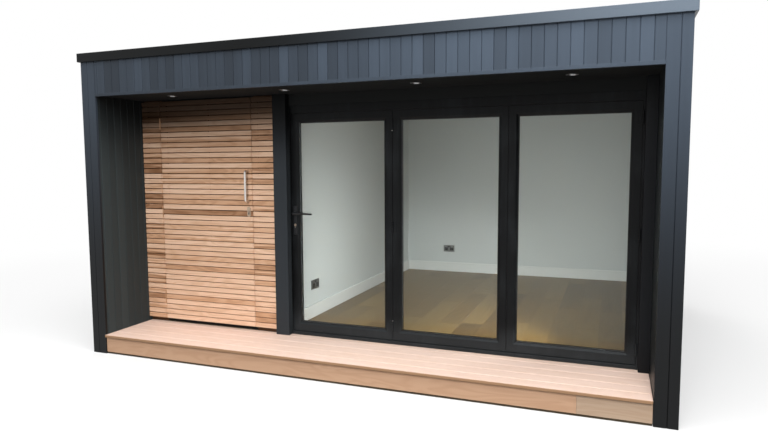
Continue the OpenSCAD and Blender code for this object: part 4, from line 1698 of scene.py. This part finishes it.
@dataclass
class LeverSet:
    """The lever of the first leaf on its backplate, over its lock cylinder."""

    x: float = 1.6580
    y: float = 0.572
    z: float = 1.187
    plate_half: float = 0.017
    plate_thick: float = 0.010
    plate_up: float = 0.060
    plate_down: float = 0.180
    plate_ease: float = 0.005
    screws: tuple[float, float] = (0.044, -0.164)
    cylinder_drop: float = 0.098
    clearance: float = 0.0003
    reach: float = 0.042
    bend: float = 0.016
    length: float = 0.180
    droop: float = 0.04
    flat_top: float = 0.7
    rounding: float = 6.6
    collar: Profile = ((0.0, 0.0150), (0.004, 0.0143), (0.0045, 0.0120))
    neck: float = 0.0118
    grip: Profile = (
        (0.0, 0.0117), (0.08, 0.0114), (0.18, 0.0108), (0.30, 0.0098), (0.42, 0.0088),
        (0.55, 0.0081), (0.75, 0.0076), (0.94, 0.0074),
    )

    def build(self) -> None:
        """Builds the plate, the cylinder and the lever."""
        x, y, z = self.x, self.y - self.plate_thick, self.z
        half = self.plate_half
        plate = Shape()
        foot, head = at(x - half, y, z - self.plate_down), at(x + half, self.y, z + self.plate_up)
        plate.block(foot, head, self.plate_ease, 3)
        front = outward(at(x, y, z))
        for up in self.screws:
            place = Matrix.Translation((0.0, 0.0, up)) @ front
            plate.screw(place, radius=0.0042, flat=0.003, proud=0.0011, steps=20)
        plate.piece("lever_backplate", HANDLE, Slot.BLACK_HANDLE, stands_for=["lever_plate"])
        KeyCylinder("leaf_cylinder", at(x, y, z - self.cylinder_drop), Body.BUILDING).build()
        self.lever(at(x, y - self.clearance, z))

    def lever(self, root: Vector) -> None:
        """Builds the lever: a neck, a bent elbow, and a grip that droops a little.

        Args:
            root: The middle of the neck's foot, just off the plate.
        """
        bend, steps = self.bend, 8
        forward, out = Vector((1.0, 0.0, 0.0)), Vector((0.0, -1.0, 0.0))
        elbow = root + out * (self.reach - bend)
        path = [root + out * far for far, _ in self.collar] + [elbow]
        radii = [radius for _, radius in self.collar] + [self.neck]
        centre = elbow + forward * bend
        for step in range(1, steps):
            a = step * RIGHT_ANGLE / steps
            path.append(centre - forward * bend * math.cos(a) + out * bend * math.sin(a))
            radii.append(self.neck)
        corner = centre + out * bend
        for share, radius in self.grip:
            along = (self.length - bend) * share
            lift = Vector((0.0, 0.0, self.flat_top * (self.neck - radius) - self.droop * along))
            path.append(corner + forward * along + lift)
            radii.append(radius)
        tip, thin = path[-1], radii[-1]
        for step in range(1, math.ceil(self.rounding)):
            a = step * RIGHT_ANGLE / self.rounding
            path.append(tip + forward * thin * math.sin(a))
            radii.append(thin * math.cos(a))
        shape = Shape()
        shape.sweep(path, radii, 28)
        shape.piece("lever_grip", HANDLE, Slot.BLACK_HANDLE, Body.LEVER, ["lever_handle"])


@dataclass
class Room:
    """What is seen through the glass: plank floor, walls, skirting and sockets."""

    plank: float = 0.190
    length: float = 1.285
    stagger: tuple[float, float] = (0.15, 0.9)
    evenness: float = 2.0
    shortest: float = 0.004
    top_layer: float = 0.014
    plank_ease: float = 0.0012
    bed: float = 0.0005
    skirting_ease: float = 0.004
    office: tuple[float, float] = (1.571, 0.642)
    store: tuple[float, float] = (0.120, 0.642)
    store_right: float = 1.471
    doorway: tuple[float, float, float, float] = (0.332, 0.562, 1.2795, 0.642)
    socket_half: tuple[float, float] = (0.073, 0.043)
    socket_thick: float = 0.0085
    socket_ease: float = 0.0025
    insert_back: float = -0.004
    # The pin holes and the rocker: middle, half width, front, foot, head and easing.
    inserts: tuple[tuple[float, ...], ...] = (
        (0.0355, 0.022, -0.0088, -0.026, 0.012, 0.0003),
        (0.0105, 0.0075, -0.009, 0.016, 0.036, 0.0006),
    )
    rng: random.Random = field(default_factory=lambda: random.Random(17))

    def build(self) -> None:
        """Builds the floor and sockets and dresses the walls."""
        self.floor()
        dress(PLASTER, "left_wall", "right_wall", "back_wall", "partition_wall", "roof_panel")
        eased("skirting", SATIN_WHITE, Slot.WHITE_PAINT, self.skirting_ease, ending="_boards")
        self.sockets()

    def floor(self) -> None:
        """Planks along Y with staggered ends, on a base board in each room."""
        low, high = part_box("floor_boards")
        planks, base = Shape(), Shape()
        x0, y0, x1, y1 = self.doorway
        end, deck = at(self.store_right, 0.0, 0.0).x, high.z - self.top_layer
        for a, b in (
            (at(*self.office, 0.0), Vector((high.x, high.y, 0.0))),
            (at(*self.store, 0.0), Vector((end, high.y, 0.0))),
            (at(x0, y0, 0.0), at(x1, y1, 0.0)),
        ):
            base.block((a.x, a.y, low.z), (b.x, b.y, deck - self.bed), self.bed)
            x = a.x
            while x < b.x - NARROW:
                self.row(planks, (x, a.y, deck), (min(x + self.plank, b.x), b.y, high.z))
                x += self.plank
        planks.piece("floor_planks", OAK, Slot.FLOOR_OAK, stands_for=["floor_boards"])
        base.piece("floor_base", SAWN, Slot.BASE_TIMBER)

    def row(self, planks: Shape, low: Point, high: Point) -> None:
        """Adds one row of planks, end to end.

        Args:
            planks: The mesh that takes them.
            low: The row's lowest corner.
            high: Its highest corner.
        """
        y = low[1] - self.rng.uniform(*self.stagger) * self.length
        while y < high[1] - NARROW:
            start, end = max(y, low[1]), min(y + self.length, high[1])
            if end - start > self.shortest:
                planks.block((low[0], start, low[2]), (high[0], end, high[2]), self.plank_ease)
                tone = self.rng.betavariate(self.evenness, self.evenness)
                planks.stock(tone, self.rng.uniform(0.0, PLANK_SLIDE))
            y += self.length

    def sockets(self) -> None:
        """Two double sockets: a metal plate, rockers and pin holes."""
        low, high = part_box("sockets")
        half, up = self.socket_half
        plates, inserts = Shape(), Shape()
        side = Matrix.Translation((low.x, low.y + half, low.z + up))
        side = side @ Matrix.Rotation(RIGHT_ANGLE, 4, "Z")
        rear = Matrix.Translation((high.x - half, high.y, low.z + up))
        for place in (side, rear):
            near, far = (-half, -self.socket_thick, -up), (half, 0.0, up)
            plates.block(near, far, self.socket_ease, 2, place)
            for sign in (-1.0, 1.0):
                for x, width, front, foot, head, ease in self.inserts:
                    near = (sign * x - width, front, foot)
                    far = (sign * x + width, self.insert_back, head)
                    inserts.block(near, far, ease, 2, place)
        plates.piece("socket_plates", NICKEL, Slot.WHITE_PLASTIC, stands_for=["sockets"])
        inserts.piece("socket_inserts", BLACK_PLASTIC, Slot.WHITE_PLASTIC)


@dataclass
class Base:
    """The timber under the floor and the deck."""

    def build(self) -> None:
        """Dresses the bearers and the joists."""
        dress(TREATED, "ground_bearers", "base_joists")


@dataclass(frozen=True)
class Lamp:
    """A round area lamp that faces a point.

    Attributes:
        name: Its name.
        place: Where it stands.
        goal: The point that it faces.
        size: Its width.
        power: Its power in watts.
        spread: The width of its beam in degrees, where it isn't the widest.
        unseen: The kinds of ray that don't see it.
    """

    name: str
    place: Triple
    goal: Triple
    size: float
    power: float
    spread: float | None = None
    unseen: tuple[str, ...] = ()

    def build(self) -> None:
        """Adds the lamp to the scene."""
        data = bpy.data.lights.new(self.name, "AREA")
        data.shape, data.size, data.energy = "DISK", self.size, self.power
        if self.spread:
            data.spread = math.radians(self.spread)
        made = bpy.data.objects.new(self.name, data)
        place = Vector(self.place)
        turn = (Vector(self.goal) - place).to_track_quat("-Z", "Y").to_matrix().to_4x4()
        made.matrix_world = Matrix.Translation(place) @ turn
        bpy.context.scene.collection.objects.link(made)
        for ray in self.unseen:
            setattr(made, "visible_" + ray, False)


# What a lamp behind the glass leaves out, so that no ray sees its disc.
INSIDE = ("camera", "transmission", "glossy")
LAMPS = (
    Lamp("front", (1.8, -10.0, 6.6), (0.0, -1.5, 1.2), 5.4, 760.0, None, ("glossy",)),
    Lamp("fill", (1.5, -9.5, 1.3), (0.0, -1.5, 1.2), 4.0, 90.0, None, ("glossy", "transmission")),
    Lamp("overhead", (1.2, -3.4, 6.6), (0.6, -1.8, 0.5), 3.5, 320.0),
    Lamp("window_low", (1.0, -1.1, 0.7), (1.1, 1.7, 0.5), 1.2, 6.0, 92.0, INSIDE),
    Lamp("window_side", (1.95, -1.15, 0.8), (-0.7, -0.8, 0.5), 0.6, 8.5, 80.0, INSIDE),
    Lamp("window_far", (1.3, -1.1, 0.4), (-0.2, 1.8, 0.12), 0.5, 1.9, 45.0, INSIDE),
    Lamp("rear_sky", (-3.0, 9.0, 7.0), (0.0, 1.0, 1.0), 6.0, 420.0),
)


@dataclass
class Studio:
    """The camera, the lamps and the pale surroundings."""

    sensor: float = 36.0
    lens: float = 28.568
    sight: float = 200.0
    eye: Triple = (1.8639, -5.8577, 1.5782)
    yaw: float = 0.3608
    pitch: float = -0.0885
    roll: float = 0.0043
    zenith: float = 0.75
    horizon: float = 0.12
    floor_radius: float = 60.0
    fade: tuple[float, float] = (2.5, 9.0)
    near_glow: float = 0.45
    matt_tone: float = 0.82
    dull_tone: float = 0.05

    def camera(self) -> None:
        """The camera at the photograph's viewing angle."""
        data = bpy.data.cameras.new("photo_view")
        data.sensor_width, data.lens, data.clip_end = self.sensor, self.lens, self.sight
        made = bpy.data.objects.new("photo_view", data)
        turn = (
            Matrix.Rotation(self.yaw, 4, "Z") @ Matrix.Rotation(self.pitch, 4, "X")
            @ Matrix.Rotation(self.roll, 4, "Y") @ Matrix.Rotation(RIGHT_ANGLE, 4, "X")
        )
        made.matrix_world = Matrix.Translation(self.eye) @ turn
        bpy.context.scene.collection.objects.link(made)
        bpy.context.scene.camera = made

    def world(self) -> None:
        """A world that is white to the eye, and as a light is softer and strongest overhead."""
        world = bpy.data.worlds.new("pale_room")
        bpy.context.scene.world = world
        g = Graph(world)
        way = g.node("TexCoord", {}, {}, "Generated")
        height = g.node("SeparateXYZ", {}, {0: way}, "Z")
        light = height.between(-0.1, 1.0) * (self.zenith - self.horizon) + self.horizon
        seen = self.seen(g)
        strength = light * (1.0 - seen) + seen
        g.close(g.node("Background", {}, {"Color": WHITE, "Strength": strength}))

    @staticmethod
    def seen(g: Graph) -> Wire:
        """1 for the rays that look at the background, in the lens, in metal or through glass."""
        return g.ray("Camera").most(g.ray("Glossy")).most(g.ray("Transmission"))

    def floor(self) -> None:
        """A wide pale floor that keeps the object's shadow and fades to white far off."""
        bm = bmesh.new()
        bmesh.ops.create_circle(bm, cap_ends=True, radius=self.floor_radius, segments=96)
        mesh = bpy.data.meshes.new("studio_floor")
        bm.to_mesh(mesh)
        bm.free()
        made = bpy.data.objects.new("studio_floor", mesh)
        bpy.context.scene.collection.objects.link(made)
        g = Graph(bpy.data.materials.new("studio_floor"))
        away = g.node("VectorMath", {"operation": "LENGTH"}, {0: g.place()}, "Value")
        matt, dull = (
            g.principled(Base_Color=(tone,) * 3, Roughness=0.9)
            for tone in (self.matt_tone, self.dull_tone)
        )
        white = g.node("Emission", {}, {"Color": WHITE, "Strength": 1.0})
        share = away.between(*self.fade) * (1.0 - self.near_glow) + self.near_glow
        pale = g.node("MixShader", {}, {0: share, 1: matt, 2: white})
        floor = g.node("MixShader", {}, {0: self.seen(g), 1: dull, 2: pale})
        mesh.materials.append(g.close(floor))

    def build(self) -> None:
        """Sets up the studio."""
        self.camera()
        self.world()
        self.floor()
        for lamp in LAMPS:
            lamp.build()
        bpy.context.scene.view_settings.view_transform = "Standard"


def main() -> None:
    """Builds the pod in order."""
    logging.basicConfig(level=logging.INFO, format="%(name)s %(message)s")
    for part in (
        Cladding(), RoofEdge(), Porch(), SlatWall(), FoldingDoor(), LeverSet(), Room(), Base(),
        Studio(),
    ):
        LOG.info("building %s", type(part).__name__)
        part.build()


if __name__ == "__main__":
    main()
